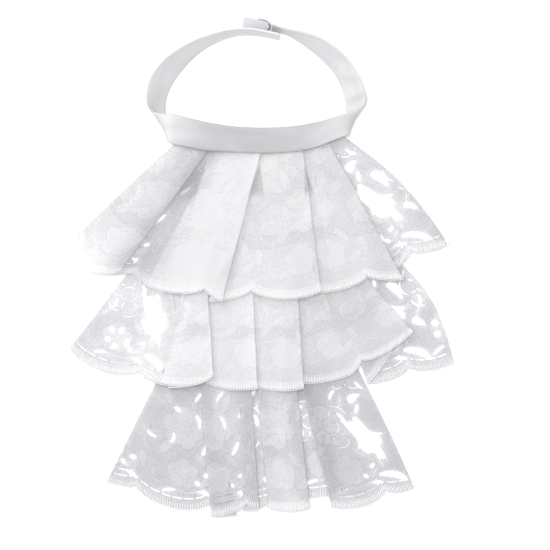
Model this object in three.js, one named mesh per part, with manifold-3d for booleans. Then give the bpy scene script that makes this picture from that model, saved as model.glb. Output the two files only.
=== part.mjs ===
// A lace jabot laid out on a flat surface: a satin neckband closed in a loop by a wire hook, and three
// pleated tiers of floral edging lace on a net panel.
// Millimetres. +X runs across the jabot, +Y from the hem to the neck, +Z up from the surface it lies on.
import * as THREE from "three";
import { mergeVertices } from "three/addons/utils/BufferGeometryUtils.js";
import Module from "manifold-3d";

const wasm = await Module();
wasm.setup();

// ---------------------------------------------------------------- driving dimensions
const LACE_WALL = 1.0;
const LACE_DEPTH = 114; // the cut width of the edging, from the seam to the mean line of the scallops
const SCALLOP_PITCH = 60; // one repeat of the edging
const SCALLOP_DROP = 9; // how far a scallop hangs below the notch between two
const SCALLOP_MEAN = 0.7; // the scallops' mean line, as a share of the drop
const BAND_WALL = 1.8;
const NET_WALL = 1.0;
const HOOK_WIRE = 1.2;

const COLOURS = { satin: 0xf3f3f6, lace: 0xf6f6f8, net: 0xf8f8fa, wire: 0x8d9096 };

// ---------------------------------------------------------------- the lace's open gaps
// One repeat of the edging. along: from the notch, across: from the seam, both to the gap's middle;
// length by width, turned from the seam's direction; bow bends the gap's long axis; lobes scallop its rim.
const GAPS = [
  { name: "ground", along: 59, across: 63, length: 38, width: 16, turn: 66, bow: 0, lobes: 5, wave: 0.2 },
  { name: "above", along: 34, across: 22, length: 20, width: 9, turn: 14, bow: 0, lobes: 4, wave: 0.15 },
  { name: "leaf", along: 13, across: 46, length: 16, width: 7, turn: 74, bow: 0.02, lobes: 3, wave: 0.14 },
  { name: "crescent", along: 11, across: 98, length: 24, width: 5.4, turn: 32, bow: 0.02, lobes: 0, wave: 0 },
  { name: "sprig", along: 0, across: 28, length: 12, width: 6, turn: -30, bow: 0.03, lobes: 3, wave: 0.14 },
  { name: "side", along: 19, across: 76, length: 11, width: 5.4, turn: 40, bow: 0.03, lobes: 3, wave: 0.14 },
  { name: "eyelet 1", along: 31, across: 82, length: 6, width: 4.8, turn: 60, bow: 0, lobes: 0, wave: 0 },
  { name: "eyelet 2", along: 38.5, across: 80, length: 6, width: 4.8, turn: 100, bow: 0, lobes: 0, wave: 0 },
  { name: "eyelet 3", along: 30, across: 90.5, length: 5.6, width: 4.8, turn: 10, bow: 0, lobes: 0, wave: 0 },
  { name: "eyelet 4", along: 37, across: 94, length: 6, width: 4.8, turn: 150, bow: 0, lobes: 0, wave: 0 },
  { name: "eyelet 5", along: 45, across: 88.5, length: 7, width: 5, turn: 80, bow: 0, lobes: 0, wave: 0 },
];
const GAP_SIDES = { wide: 12, small: 6 }; // corners of a gap's rim
const SMALL_GAP = 8; // a gap shorter than this has a small one's corners
const FOLD_MARGIN = 2.5; // the least cloth left between a gap and a fold
const PUNCH_REACH = 0.5; // how far a gap's punch stands out of the cloth on each side
const SLOPE_STEP = 0.02; // the share of a run over which its slope is taken

// ---------------------------------------------------------------- the tiers
// A row is one run of cloth between two folds, in order from the left cut edge.
// seam: x of its two ends at the seam. x, y: its two ends at the hem. seamZ, hemZ: their heights.
// at: where the pattern stands at its first end; a row without it lies hidden in a pleat.
// open: which gaps show on it: all, the large ones, or fine, only those too narrow for the solid; on other
// rows the cloth behind closes them. single: the place from which it closes them, if it lies double there.
// rise: the stretch in which it climbs from its first height to its last. arch, puff: how far it puffs up
// at the hem, and where. sag: how much deeper its middle hangs. bow: how far its two ends swing sideways.
const TIER_1 = {
  name: "lace_tier_1",
  seamY: (x) => 94.6 + 0.0583 * x + 0.00221 * x * x,
  rows: [
    { run: "turned in", seam: [-55, -66], x: [-112, -146], y: [7, 24],
      seamZ: [1.8, 1.8], hemZ: [0.6, 0.6], bow: [-1, -1] },
    { run: "left roll", seam: [-66, -42], x: [-147, -116], y: [25, -5],
      seamZ: [4.8, 4.8], hemZ: [3.4, 9.8], arch: 12, sag: 12, bow: [-1, 0], at: 8 },
    { run: "pleat 1", seam: [-42, -49], x: [-116, -124], y: [-5, -2], seamZ: [3.3, 3.3], hemZ: [7.4, 7.2] },
    { run: "left valley", seam: [-49, -36], x: [-124, -92], y: [-2, -14],
      seamZ: [1.8, 1.8], hemZ: [4.8, 9.8], rise: [0.3, 1], at: 40, open: "all" },
    { run: "second flute", seam: [-36, -1], x: [-92, -33], y: [-14, -26],
      seamZ: [1.8, 4.8], hemZ: [9.8, 16.5], rise: [0.25, 0.72], arch: 6, at: 75 },
    { run: "pleat 2", seam: [-1, -9], x: [-33, -42], y: [-26, -25], seamZ: [3.3, 3.3], hemZ: [14.2, 14.2] },
    { run: "middle flute", seam: [-9, 31], x: [-42, 46], y: [-25, -22],
      seamZ: [1.8, 4.8], hemZ: [11.8, 16.5], rise: [0.25, 0.76], arch: 7, puff: [0.22, 1], at: 207 },
    { run: "pleat 3", seam: [31, 24], x: [46, 38], y: [-21, -20], seamZ: [3.3, 3.3], hemZ: [14.2, 14.2] },
    { run: "fourth flute", seam: [24, 50], x: [38, 110], y: [-20, -8],
      seamZ: [1.8, 4.8], hemZ: [11.8, 13], rise: [0.3, 0.74], arch: 5, puff: [0.3, 1], at: 312 },
    { run: "pleat 4", seam: [50, 44], x: [110, 100], y: [-8, -2], seamZ: [3.3, 3.3], hemZ: [10.8, 10.6] },
    { run: "right end", seam: [44, 62], x: [100, 148], y: [-3, 20],
      seamZ: [1.8, 1.8], hemZ: [8.2, 0.6], arch: 5, puff: [0.34, 1], bow: [0, 7], at: 396, open: "all" },
  ],
};
const TIER_2 = {
  name: "lace_tier_2",
  seamY: (x) => 17.5 + 0.0004 * x * x,
  rows: [
    { run: "left end", seam: [-88, -46], x: [-157, -40], y: [-68, -93],
      seamZ: [3.6, 4.8], hemZ: [0.6, 12], arch: 5, sag: 9, at: 0, open: "all", single: 75 },
    { run: "pleat 1", seam: [-46, -58], x: [-40, -74], y: [-93, -94], seamZ: [3.3, 3.3], hemZ: [9.8, 9.6] },
    { run: "second panel", seam: [-58, -10], x: [-74, -5], y: [-94, -96],
      seamZ: [1.8, 4.8], hemZ: [7.6, 12], rise: [0.52, 0.76], arch: 1.5, puff: [0.55, 1], at: 155 },
    { run: "pleat 2", seam: [-10, -18], x: [-5, -15], y: [-96, -95], seamZ: [3.3, 3.3], hemZ: [9.8, 9.8] },
    { run: "third panel", seam: [-18, 25], x: [-15, 32], y: [-95, -97],
      seamZ: [1.8, 4.8], hemZ: [7.6, 12], rise: [0.26, 0.76], arch: 3, puff: [0.3, 1], at: 242 },
    { run: "pleat 3", seam: [25, 17], x: [32, 24], y: [-97, -95], seamZ: [3.3, 3.3], hemZ: [9.8, 9.8] },
    { run: "fourth panel", seam: [17, 37], x: [24, 72], y: [-95, -85],
      seamZ: [1.8, 4.8], hemZ: [7.6, 11], rise: [0.42, 0.95], at: 300 },
    { run: "lifted corner", seam: [37, 58], x: [72, 119], y: [-85, -52],
      seamZ: [4.8, 4.8], hemZ: [11, 7.5], arch: 2, at: 349 },
    { run: "pleat 4", seam: [58, 49], x: [119, 84], y: [-52, -90], seamZ: [3.3, 3.3], hemZ: [5.2, 6] },
    { run: "right end", seam: [49, 88], x: [84, 153], y: [-91, -75],
      seamZ: [1.8, 1.8], hemZ: [3.4, 0.6], sag: 3, bow: [0, 13], at: 446, open: "all" },
  ],
};
const TIER_3 = {
  name: "lace_tier_3",
  seamY: (x) => -78 - 0.0002 * x * x,
  rows: [
    { run: "left end", seam: [-79, -46], x: [-124, -22], y: [-170, -197],
      seamZ: [1.8, 1.8], hemZ: [0.6, 0.6], arch: 1.5, puff: [0, 0.7], sag: 7, at: 37, open: "fine" },
    { run: "pleat 1", seam: [-46, -50], x: [-22, -40], y: [-197, -197], seamZ: [3.3, 3.3], hemZ: [3, 3] },
    { run: "second panel", seam: [-50, -11], x: [-40, -4], y: [-197, -194],
      seamZ: [4.8, 4.8], hemZ: [5.6, 5.6], arch: 3, at: 152, open: "fine" },
    { run: "pleat 2", seam: [-11, -19], x: [-4, -14], y: [-194, -193], seamZ: [3.3, 3.3], hemZ: [3.2, 3.2] },
    { run: "first valley", seam: [-19, 0], x: [-14, 18], y: [-192, -190],
      seamZ: [1.8, 1.8], hemZ: [0.7, 0.7], at: 210, open: "large" },
    { run: "pleat 3", seam: [0, -5], x: [18, 6], y: [-189, -190], seamZ: [3.3, 3.3], hemZ: [3, 3] },
    { run: "third panel", seam: [-5, 25], x: [6, 37], y: [-191, -196],
      seamZ: [4.8, 4.8], hemZ: [5.6, 5.6], arch: 3, at: 266 },
    { run: "pleat 4", seam: [25, 17], x: [37, 28], y: [-196, -189], seamZ: [3.3, 3.3], hemZ: [3.2, 3.2] },
    { run: "second valley", seam: [17, 39], x: [28, 66], y: [-184, -180],
      seamZ: [1.8, 1.8], hemZ: [0.7, 0.7], at: 314, open: "large" },
    { run: "pleat 5", seam: [39, 28], x: [66, 56], y: [-180, -190], seamZ: [3.3, 3.3], hemZ: [3, 3] },
    { run: "right end", seam: [28, 75], x: [56, 121], y: [-191, -175],
      seamZ: [4.8, 4.2], hemZ: [5.6, 0.6], arch: 4, sag: 4, bow: [0, 1], at: 376, open: "large" },
  ],
};
const PATTERN_STEP = 12; // the facets' width along the hem
const LEAST_FACET = { first: 3, last: 2.5 }; // the narrowest facets at a run's two ends
const TIER_FACETS = 5; // facets from the seam to the hem
const BEND_STEPS = 3; // points round a fold

// ---------------------------------------------------------------- the neckband
// Sections of the strip, in order from the end that lies inside the overlap at the nape.
// x, y: the middle of the strip; width: from edge to edge; turn: where its upper edge points, seen from
// above; lean: how far that edge is raised, from 0, lying flat, to 90, standing on its lower edge; lift:
// how far its lowest edge is off the surface.
const BAND_SECTIONS = [
  { x: 13.2, y: 183.5, width: 20.5, turn: 74, lean: 81, lift: 0.1 },
  { x: 2, y: 186, width: 20.5, turn: 80, lean: 81, lift: 0.1 },
  { x: -13, y: 187.8, width: 20.5, turn: 90, lean: 79, lift: 0.1 },
  { x: -29.2, y: 185.8, width: 20.5, turn: 105, lean: 75, lift: 0.1 },
  { x: -46.6, y: 179.2, width: 20.5, turn: 120, lean: 66, lift: 0.1 },
  { x: -60.6, y: 170.8, width: 20.5, turn: 134, lean: 52, lift: 0.1 },
  { x: -72.2, y: 160.4, width: 20.5, turn: 147, lean: 37, lift: 0.1 },
  { x: -80.8, y: 148.6, width: 20.5, turn: 157, lean: 30, lift: 0.1 },
  { x: -84.6, y: 137.3, width: 20.5, turn: 163, lean: 38, lift: 0.1 },
  { x: -85, y: 128, width: 20.5, turn: 155, lean: 38, lift: 0.1 },
  { x: -82.8, y: 119.6, width: 21, turn: 138, lean: 24, lift: 0.8 },
  { x: -80.8, y: 113.6, width: 23, turn: 120, lean: 12, lift: 5 },
  { x: -77.4, y: 110.8, width: 24, turn: 104, lean: 4, lift: 9.8 },
  { x: -71, y: 109.8, width: 24, turn: 88, lean: 3, lift: 11 },
  { x: -60, y: 107.4, width: 23, turn: 79, lean: 2, lift: 10.4 },
  { x: -44, y: 104.1, width: 22.6, turn: 80, lean: 0, lift: 8.4 },
  { x: -24, y: 102.1, width: 20.6, turn: 86, lean: 0, lift: 6.2 },
  { x: 0, y: 101.1, width: 20.5, turn: 90, lean: 0, lift: 5.8 },
  { x: 24, y: 102.1, width: 20.5, turn: 94, lean: 0, lift: 6.2 },
  { x: 40, y: 104.9, width: 20, turn: 99, lean: 0, lift: 8 },
  { x: 52, y: 108.6, width: 18, turn: 103, lean: 2, lift: 10 },
  { x: 62, y: 112, width: 17.4, turn: 102, lean: 3, lift: 11 },
  { x: 68, y: 114, width: 17.8, turn: 90, lean: 5, lift: 10 },
  { x: 71.8, y: 116.2, width: 19, turn: 70, lean: 12, lift: 6.4 },
  { x: 73.8, y: 120.6, width: 20, turn: 50, lean: 20, lift: 2 },
  { x: 74.6, y: 128, width: 20.5, turn: 33, lean: 28, lift: 0.2 },
  { x: 73, y: 139, width: 20.5, turn: 26, lean: 40, lift: 0.1 },
  { x: 65.4, y: 155.9, width: 20.5, turn: 33, lean: 44, lift: 0.1 },
  { x: 55.4, y: 167.7, width: 20.5, turn: 46, lean: 47, lift: 0.1 },
  { x: 42.2, y: 177.8, width: 20.5, turn: 58, lean: 56, lift: 0.1 },
  { x: 27.4, y: 185.0, width: 20.5, turn: 68, lean: 73, lift: 0.1 },
  { x: 16.4, y: 188.6, width: 20.5, turn: 75, lean: 82, lift: 0.1 },
  { x: 7.6, y: 190.9, width: 20.5, turn: 76, lean: 76, lift: 0.1 },
];
const BAND_STEPS = 2; // facets between two sections

// The ribbed tab that faces the band's outer end, with the same columns, and its ribs.
const TAB_SECTIONS = [
  { x: 6.9, y: 191.2, width: 18.5, turn: 76, lean: 74, lift: 0.6 },
  { x: 2, y: 192.2, width: 18.5, turn: 77, lean: 72, lift: 0.5 },
  { x: -6, y: 193.6, width: 18.5, turn: 78, lean: 68, lift: 0.4 },
  { x: -15.4, y: 195.2, width: 18.5, turn: 79, lean: 64, lift: 0.4 },
];
const TAB_WALL = 2.2;
const TAB_RIBS = 6;
const TAB_GROOVE = 0.5;

// The wire hook on the tab, as points on its middle line.
const HOOK_STEPS = 14;
const HOOK_SIDES = 8;
const HOOK_PATH = [
  { x: -3.4, y: 197.0, z: 19.4 },
  { x: 0.6, y: 196.4, z: 19.8 },
  { x: 4.4, y: 194.6, z: 20.1 },
  { x: 6.0, y: 191.4, z: 19.6 },
  { x: 5.4, y: 189.2, z: 17.6 },
  { x: 4.0, y: 188.9, z: 15.6 },
];

// ---------------------------------------------------------------- small helpers
const vec = (x, y, z) => new THREE.Vector3(x, y, z);
const lerp = THREE.MathUtils.lerp;
const radians = THREE.MathUtils.degToRad;
const smooth = (x) => THREE.MathUtils.smoothstep(x, 0, 1);

// One named mesh in its cloth's colour.
function piece(name, geometry, colour, roughness, metalness = 0) {
  geometry.computeVertexNormals();
  const material = new THREE.MeshStandardMaterial({ color: colour, roughness, metalness });
  const mesh = new THREE.Mesh(geometry, material);
  mesh.name = name;
  return mesh;
}

// An indexed geometry from points and triangles of their numbers.
function indexed(points, triangles) {
  const geometry = new THREE.BufferGeometry();
  geometry.setAttribute("position", new THREE.Float32BufferAttribute(points.flatMap((p) => p.toArray()), 3));
  geometry.setIndex(triangles.flat());
  return geometry;
}

function solidOf(geometry) {
  const bare = geometry.clone();
  bare.deleteAttribute("normal");
  bare.deleteAttribute("uv");
  const merged = mergeVertices(bare, 1e-4);
  const triVerts = new Uint32Array(merged.index.array);
  return new wasm.Manifold(
    new wasm.Mesh({ numProp: 3, vertProperties: merged.attributes.position.array, triVerts }),
  );
}

// A closed skin over a row of rings of points, with its faces outwards. outline: the rings' flat shape, as
// [x, y] pairs, which tells how to cap the two ends.
function skin(rings, outline) {
  const sides = outline.length;
  const end = (rings.length - 1) * sides;
  const flat = outline.map(([x, y]) => new THREE.Vector2(x, y));
  const turned = THREE.ShapeUtils.isClockWise(flat);
  const triangles = [];
  const add = (a, b, c) => triangles.push(turned ? [a, c, b] : [a, b, c]);
  for (let i = 0; i < end; i += sides)
    for (let j = 0; j < sides; j++) {
      const next = (j + 1) % sides;
      add(i + j, i + next, i + sides + next);
      add(i + j, i + sides + next, i + sides + j);
    }
  for (const [a, b, c] of THREE.ShapeUtils.triangulateShape(flat, [])) {
    triangles.push([a, c, b], [end + a, end + b, end + c]);
  }
  const geometry = indexed(rings.flat(), triangles);
  if (solidOf(geometry).volume() > 0) return geometry;
  return indexed(rings.flat(), triangles.map(([a, b, c]) => [a, c, b]));
}

function geometryOf(solid) {
  const mesh = solid.getMesh();
  const geometry = new THREE.BufferGeometry();
  geometry.setAttribute("position", new THREE.BufferAttribute(mesh.vertProperties, mesh.numProp));
  geometry.setIndex(new THREE.BufferAttribute(mesh.triVerts, 1));
  return geometry;
}

// ---------------------------------------------------------------- pleated cloth
// The middle surface of a run at f, from its first end to its last, and t, from the seam to the hem.
function onRun(tier, row, f, t) {
  const [riseFrom, riseTo] = row.rise ?? [0, 1];
  const climb = row.rise ? smooth((f - riseFrom) / (riseTo - riseFrom)) : f;
  const [puffFrom, puffTo] = row.puff ?? [0, 1];
  const puff = THREE.MathUtils.clamp((f - puffFrom) / (puffTo - puffFrom), 0, 1);
  const seamX = lerp(...row.seam, f);
  const seam = vec(seamX, tier.seamY(seamX), lerp(...row.seamZ, climb));
  const hem = vec(lerp(...row.x, f), lerp(...row.y, f), lerp(...row.hemZ, climb));
  const sideways = vec(seam.y - hem.y, hem.x - seam.x, 0).normalize();
  const deeper = t * (1 + ((row.sag ?? 0) / LACE_DEPTH) * Math.sin(Math.PI * f));
  const point = seam.clone().lerp(hem, deeper);
  point.addScaledVector(sideways, lerp(...(row.bow ?? [0, 0]), f) * Math.sin(Math.PI * Math.min(t, 1)));
  point.z = lerp(seam.z, hem.z, t) + (row.arch ?? 0) * t * Math.sin(Math.PI * puff);
  return point;
}

const widthOfRun = (tier, row, t) => onRun(tier, row, 0, t).distanceTo(onRun(tier, row, 1, t));

// The stretch of the flat lace that each run takes up at the hem. A hidden run takes what lies between.
function patternSpans(tier) {
  const spans = tier.rows.map((row) => {
    const width = widthOfRun(tier, row, 1);
    return row.at === undefined ? { width } : { width, start: row.at, end: row.at + width };
  });
  spans.forEach((span, k) => {
    if (span.start !== undefined) return;
    span.start = k ? spans[k - 1].end : spans[1].start - span.width;
    span.end = spans[k + 1].start;
  });
  return spans;
}

// How deep the lace is at a place along it, scallops included.
function laceDepth(along) {
  const wave = Math.abs(Math.sin((Math.PI * along) / SCALLOP_PITCH));
  return LACE_DEPTH + SCALLOP_DROP * (Math.sqrt(wave) - SCALLOP_MEAN);
}

// A run that the next one carries on from at the same height has no fold between them.
const flowsOn = (row, next) => row.x[1] === next.x[0] && row.hemZ[1] === next.hemZ[0];

// The columns of the cloth's grid, at even steps of the pattern on the runs and round the folds between.
function columnsOf(tier) {
  const columns = [];
  tier.rows.forEach((row, k) => {
    const { start, end } = tier.spans[k];
    const hidden = row.at === undefined;
    const inner = [];
    const first = Math.ceil((start + LEAST_FACET.first) / PATTERN_STEP);
    for (let n = first; n * PATTERN_STEP < end - LEAST_FACET.last; n++)
      inner.push((n * PATTERN_STEP - start) / (end - start));
    for (const f of [0, ...(hidden ? [0.5] : inner), 1]) columns.push({ k, f, along: lerp(start, end, f) });
    const next = tier.rows[k + 1];
    if (!next) return;
    if (flowsOn(row, next)) columns.pop();
    else for (let b = 1; b <= BEND_STEPS; b++) columns.push({ k, bend: b / (BEND_STEPS + 1), along: end });
  });
  return columns;
}

// A point on a column of the grid, t from the seam to the hem.
function onColumn(tier, column, t) {
  const row = tier.rows[column.k];
  if (column.bend === undefined) return onRun(tier, row, column.f, t);
  const from = onRun(tier, row, 1, t);
  const to = onRun(tier, tier.rows[column.k + 1], 0, t);
  const outward = from.clone().sub(onRun(tier, row, 0.9, t)).setZ(0).normalize();
  const radius = Math.abs(from.z - to.z) / 2;
  const angle = Math.PI * column.bend;
  const point = from.clone().lerp(to, (1 - Math.cos(angle)) / 2);
  return point.addScaledVector(outward, radius * Math.sin(angle));
}

// The grid of the middle surface and its unit normals.
function clothGrid(tier) {
  const grid = tier.columns.map((column) => {
    const step = laceDepth(column.along) / LACE_DEPTH / TIER_FACETS;
    return Array.from({ length: TIER_FACETS + 1 }, (_, j) => onColumn(tier, column, step * j));
  });
  const last = grid.length - 1;
  const normals = grid.map((line, i) =>
    line.map((_, j) => {
      const across = grid[Math.min(i + 1, last)][j].clone().sub(grid[Math.max(i - 1, 0)][j]);
      const down = line[Math.min(j + 1, TIER_FACETS)].clone().sub(line[Math.max(j - 1, 0)]);
      return down.cross(across).normalize();
    }),
  );
  return { grid, normals };
}

// A closed wall of even thickness on a grid of points.
function wallOnGrid({ grid, normals }, thickness) {
  const columns = grid.length;
  const rows = grid[0].length;
  const points = [];
  for (const side of [0.5, -0.5])
    grid.forEach((line, i) =>
      line.forEach((p, j) => points.push(p.clone().addScaledVector(normals[i][j], side * thickness))),
    );
  const top = (i, j) => i * rows + j;
  const under = (i, j) => columns * rows + top(i, j);
  const triangles = [];
  const quad = (a, b, c, d) => triangles.push([a, b, c], [a, c, d]);
  for (let i = 0; i + 1 < columns; i++)
    for (let j = 0; j + 1 < rows; j++) {
      quad(top(i, j), top(i, j + 1), top(i + 1, j + 1), top(i + 1, j));
      quad(under(i, j), under(i + 1, j), under(i + 1, j + 1), under(i, j + 1));
    }
  for (let i = 0; i + 1 < columns; i++) {
    quad(top(i, 0), top(i + 1, 0), under(i + 1, 0), under(i, 0));
    quad(top(i + 1, rows - 1), top(i, rows - 1), under(i, rows - 1), under(i + 1, rows - 1));
  }
  for (let j = 0; j + 1 < rows; j++) {
    quad(top(0, j + 1), top(0, j), under(0, j), under(0, j + 1));
    quad(top(columns - 1, j), top(columns - 1, j + 1), under(columns - 1, j + 1), under(columns - 1, j));
  }
  return indexed(points, triangles);
}

// The rim of a gap on the flat lace, as [along, across] pairs.
function gapRim(gap, repeat) {
  const sides = gap.length < SMALL_GAP ? GAP_SIDES.small : GAP_SIDES.wide;
  const turn = radians(gap.turn);
  return Array.from({ length: sides }, (_, i) => {
    const angle = (2 * Math.PI * i) / sides;
    const reach = 1 + gap.wave * Math.cos(gap.lobes * angle);
    const x = (gap.length / 2) * reach * Math.cos(angle);
    const y = (gap.width / 2) * reach * Math.sin(angle) + gap.bow * x * x;
    const along = gap.along + x * Math.cos(turn) - y * Math.sin(turn);
    return [along + repeat * SCALLOP_PITCH, gap.across + x * Math.sin(turn) + y * Math.cos(turn)];
  });
}

// Where a place on the flat lace comes on a run: f along it and t down it. The pattern keeps its width
// from the seam to the hem, so a run that narrows shows only the middle of it.
function placeOnRun(tier, k, [along, across]) {
  const { start, end } = tier.spans[k];
  const t = across / LACE_DEPTH;
  return { f: 0.5 + (along - (start + end) / 2) / widthOfRun(tier, tier.rows[k], t), t };
}

// The punch for one gap on one run, or null where it would reach a fold.
function gapPunch(tier, k, rim) {
  const row = tier.rows[k];
  const spots = rim.map((place) => placeOnRun(tier, k, place));
  const clear = spots.every(({ f, t }) => {
    const margin = FOLD_MARGIN / widthOfRun(tier, row, t);
    return f > margin && f < 1 - margin;
  });
  if (!clear) return null;
  const reach = LACE_WALL / 2 + PUNCH_REACH;
  const ring = (side) =>
    spots.map(({ f, t }) => {
      const across = onRun(tier, row, f + SLOPE_STEP, t).sub(onRun(tier, row, f - SLOPE_STEP, t));
      const down = onRun(tier, row, f, t + SLOPE_STEP).sub(onRun(tier, row, f, t - SLOPE_STEP));
      return onRun(tier, row, f, t).addScaledVector(down.cross(across).normalize(), side);
    });
  return solidOf(skin([ring(reach), ring(-reach)], rim));
}

// Whether the cloth of a run lies single at such a gap, so that the gap shows.
function shows(row, gap, repeat) {
  if (gap.along + repeat * SCALLOP_PITCH > (row.single ?? Infinity)) return false;
  return row.open === "all" || (row.open === "large" && gap.length >= SMALL_GAP);
}

// Every gap of every repeat that shows.
function gapPunches(tier) {
  const punches = [];
  tier.rows.forEach((row, k) => {
    const { start, end } = tier.spans[k];
    for (let repeat = Math.floor(start / SCALLOP_PITCH) - 1; repeat * SCALLOP_PITCH < end; repeat++)
      for (const gap of GAPS.filter((each) => shows(row, each, repeat))) {
        const punch = gapPunch(tier, k, gapRim(gap, repeat));
        if (punch) punches.push(punch);
      }
  });
  return punches;
}

function laceTier(spec) {
  const tier = { ...spec, spans: patternSpans(spec) };
  tier.columns = columnsOf(tier);
  const wall = solidOf(wallOnGrid(clothGrid(tier), LACE_WALL));
  const punches = gapPunches(tier);
  const bodies = wasm.Manifold.difference([wall, ...punches]).decompose();
  const cloth = bodies.reduce((a, b) => (a.volume() > b.volume() ? a : b));
  return piece(tier.name, geometryOf(cloth), COLOURS.lace, 0.9);
}

// ---------------------------------------------------------------- strips and wires
// Smooth in-between values of a section table.
function between(table, steps) {
  const count = table.length;
  const rows = [];
  for (let i = 0; i <= (count - 1) * steps; i++) {
    const k = Math.min(Math.floor(i / steps), count - 2);
    const u = i / steps - k;
    const near = [-1, 0, 1, 2].map((d) => table[THREE.MathUtils.clamp(k + d, 0, count - 1)]);
    const row = {};
    for (const column of Object.keys(table[0])) {
      const [a, b, c, d] = near.map((entry) => entry[column]);
      row[column] = b + 0.5 * u * (c - a + u * (2 * a - 5 * b + 4 * c - d + u * (3 * (b - c) + d - a)));
    }
    rows.push(row);
  }
  return rows;
}

// A strip of cloth on a section table. outline: its section, as [across, through] pairs, across in shares
// of its half width.
function strip(table, steps, outline, wall) {
  const sections = between(table, steps);
  const middles = sections.map(({ x, y, width, lean, lift }) => {
    const raised = (width / 2) * Math.sin(radians(lean)) + (wall / 2) * Math.cos(radians(lean));
    return vec(x, y, lift + raised);
  });
  const last = sections.length - 1;
  const rings = sections.map(({ width, turn, lean }, i) => {
    const run = middles[Math.min(i + 1, last)].clone().sub(middles[Math.max(i - 1, 0)]);
    const level = Math.cos(radians(lean));
    const points = radians(turn);
    const wide = vec(level * Math.cos(points), level * Math.sin(points), Math.sin(radians(lean)));
    const through = run.cross(wide).normalize();
    return outline.map(([across, deep]) =>
      middles[i].clone().addScaledVector(wide, (across * width) / 2).addScaledVector(through, deep),
    );
  });
  return skin(rings, outline);
}

function neckband() {
  const h = BAND_WALL / 2;
  const half = [[0.95, -h], [1, -h / 3], [1, h / 3], [0.95, h], [0.5, h], [0, h], [-0.5, h]];
  const outline = [...half, ...half.map(([across, deep]) => [-across, -deep])];
  return piece("neckband", strip(BAND_SECTIONS, BAND_STEPS, outline, BAND_WALL), COLOURS.satin, 0.45);
}

function closureTab() {
  const points = 2 * TAB_RIBS;
  const side = (sign) =>
    Array.from({ length: points + 1 }, (_, i) => {
      const groove = i % 2 ? 0 : TAB_GROOVE;
      return [sign * (1 - (2 * i) / points), sign * (groove - TAB_WALL / 2)];
    });
  const outline = [...side(-1), ...side(1)];
  return piece("closure_tab", strip(TAB_SECTIONS, 2, outline, TAB_WALL), COLOURS.satin, 0.7);
}

function closureHook() {
  const curve = new THREE.CatmullRomCurve3(HOOK_PATH.map(({ x, y, z }) => vec(x, y, z)));
  const frames = curve.computeFrenetFrames(HOOK_STEPS);
  const round = Array.from({ length: HOOK_SIDES }, (_, j) => {
    const angle = (2 * Math.PI * j) / HOOK_SIDES;
    return [Math.cos(angle), Math.sin(angle)];
  });
  const rings = frames.normals.map((normal, i) =>
    round.map(([a, b]) =>
      curve
        .getPointAt(i / HOOK_STEPS)
        .addScaledVector(normal, (a * HOOK_WIRE) / 2)
        .addScaledVector(frames.binormals[i], (b * HOOK_WIRE) / 2),
    ),
  );
  return piece("closure_hook", skin(rings, round), COLOURS.wire, 0.3, 0.9);
}

// ---------------------------------------------------------------- the net panel
// A flat panel under the tiers that carries the two lower seams. half: its half width at y.
const NET_MIDDLE = -2;
const NET_WIDTHS = [
  { y: 92, half: 60 },
  { y: 14, half: 78 },
  { y: -84, half: 72 },
];

function netPanel() {
  const right = NET_WIDTHS.map(({ y, half }) => new THREE.Vector2(NET_MIDDLE + half, y));
  const left = NET_WIDTHS.map(({ y, half }) => new THREE.Vector2(NET_MIDDLE - half, y));
  const outline = new THREE.Shape([...right, ...left.reverse()]);
  const slab = new THREE.ExtrudeGeometry(outline, { depth: NET_WALL, bevelEnabled: false });
  return piece("net_panel", slab, COLOURS.net, 0.9);
}

// ---------------------------------------------------------------- put together
const jabot = new THREE.Group();
jabot.add(neckband(), closureTab(), closureHook(), netPanel());
jabot.add(laceTier(TIER_1), laceTier(TIER_2), laceTier(TIER_3));

export default jabot;
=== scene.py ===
import math
from functools import partial

import bpy
import numpy as np
from bpy.props import FloatProperty, FloatVectorProperty, PointerProperty
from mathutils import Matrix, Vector


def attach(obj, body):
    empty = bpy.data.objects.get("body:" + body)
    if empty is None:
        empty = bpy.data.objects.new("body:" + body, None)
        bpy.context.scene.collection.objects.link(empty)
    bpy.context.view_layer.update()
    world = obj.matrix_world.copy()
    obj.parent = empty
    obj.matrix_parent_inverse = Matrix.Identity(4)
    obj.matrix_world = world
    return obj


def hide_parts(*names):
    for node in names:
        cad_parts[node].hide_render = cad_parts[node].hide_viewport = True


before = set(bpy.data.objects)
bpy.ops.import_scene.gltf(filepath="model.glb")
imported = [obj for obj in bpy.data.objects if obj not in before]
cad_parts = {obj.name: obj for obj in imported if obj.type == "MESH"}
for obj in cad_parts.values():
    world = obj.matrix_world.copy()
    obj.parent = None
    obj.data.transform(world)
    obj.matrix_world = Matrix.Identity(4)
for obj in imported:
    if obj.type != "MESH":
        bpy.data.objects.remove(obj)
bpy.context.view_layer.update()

bl_info = {
    "name": "Lace Jabot",
    "version": (1, 0, 0),
    "blender": (4, 5, 0),
    "location": "View3D > Sidebar > Jabot",
    "description": "Builds a lace jabot with a satin neckband and three pleated tiers of edging lace",
    "category": "Object",
}

MM = 0.001  # the tables below are in millimetres, Blender's meshes in metres

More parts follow.
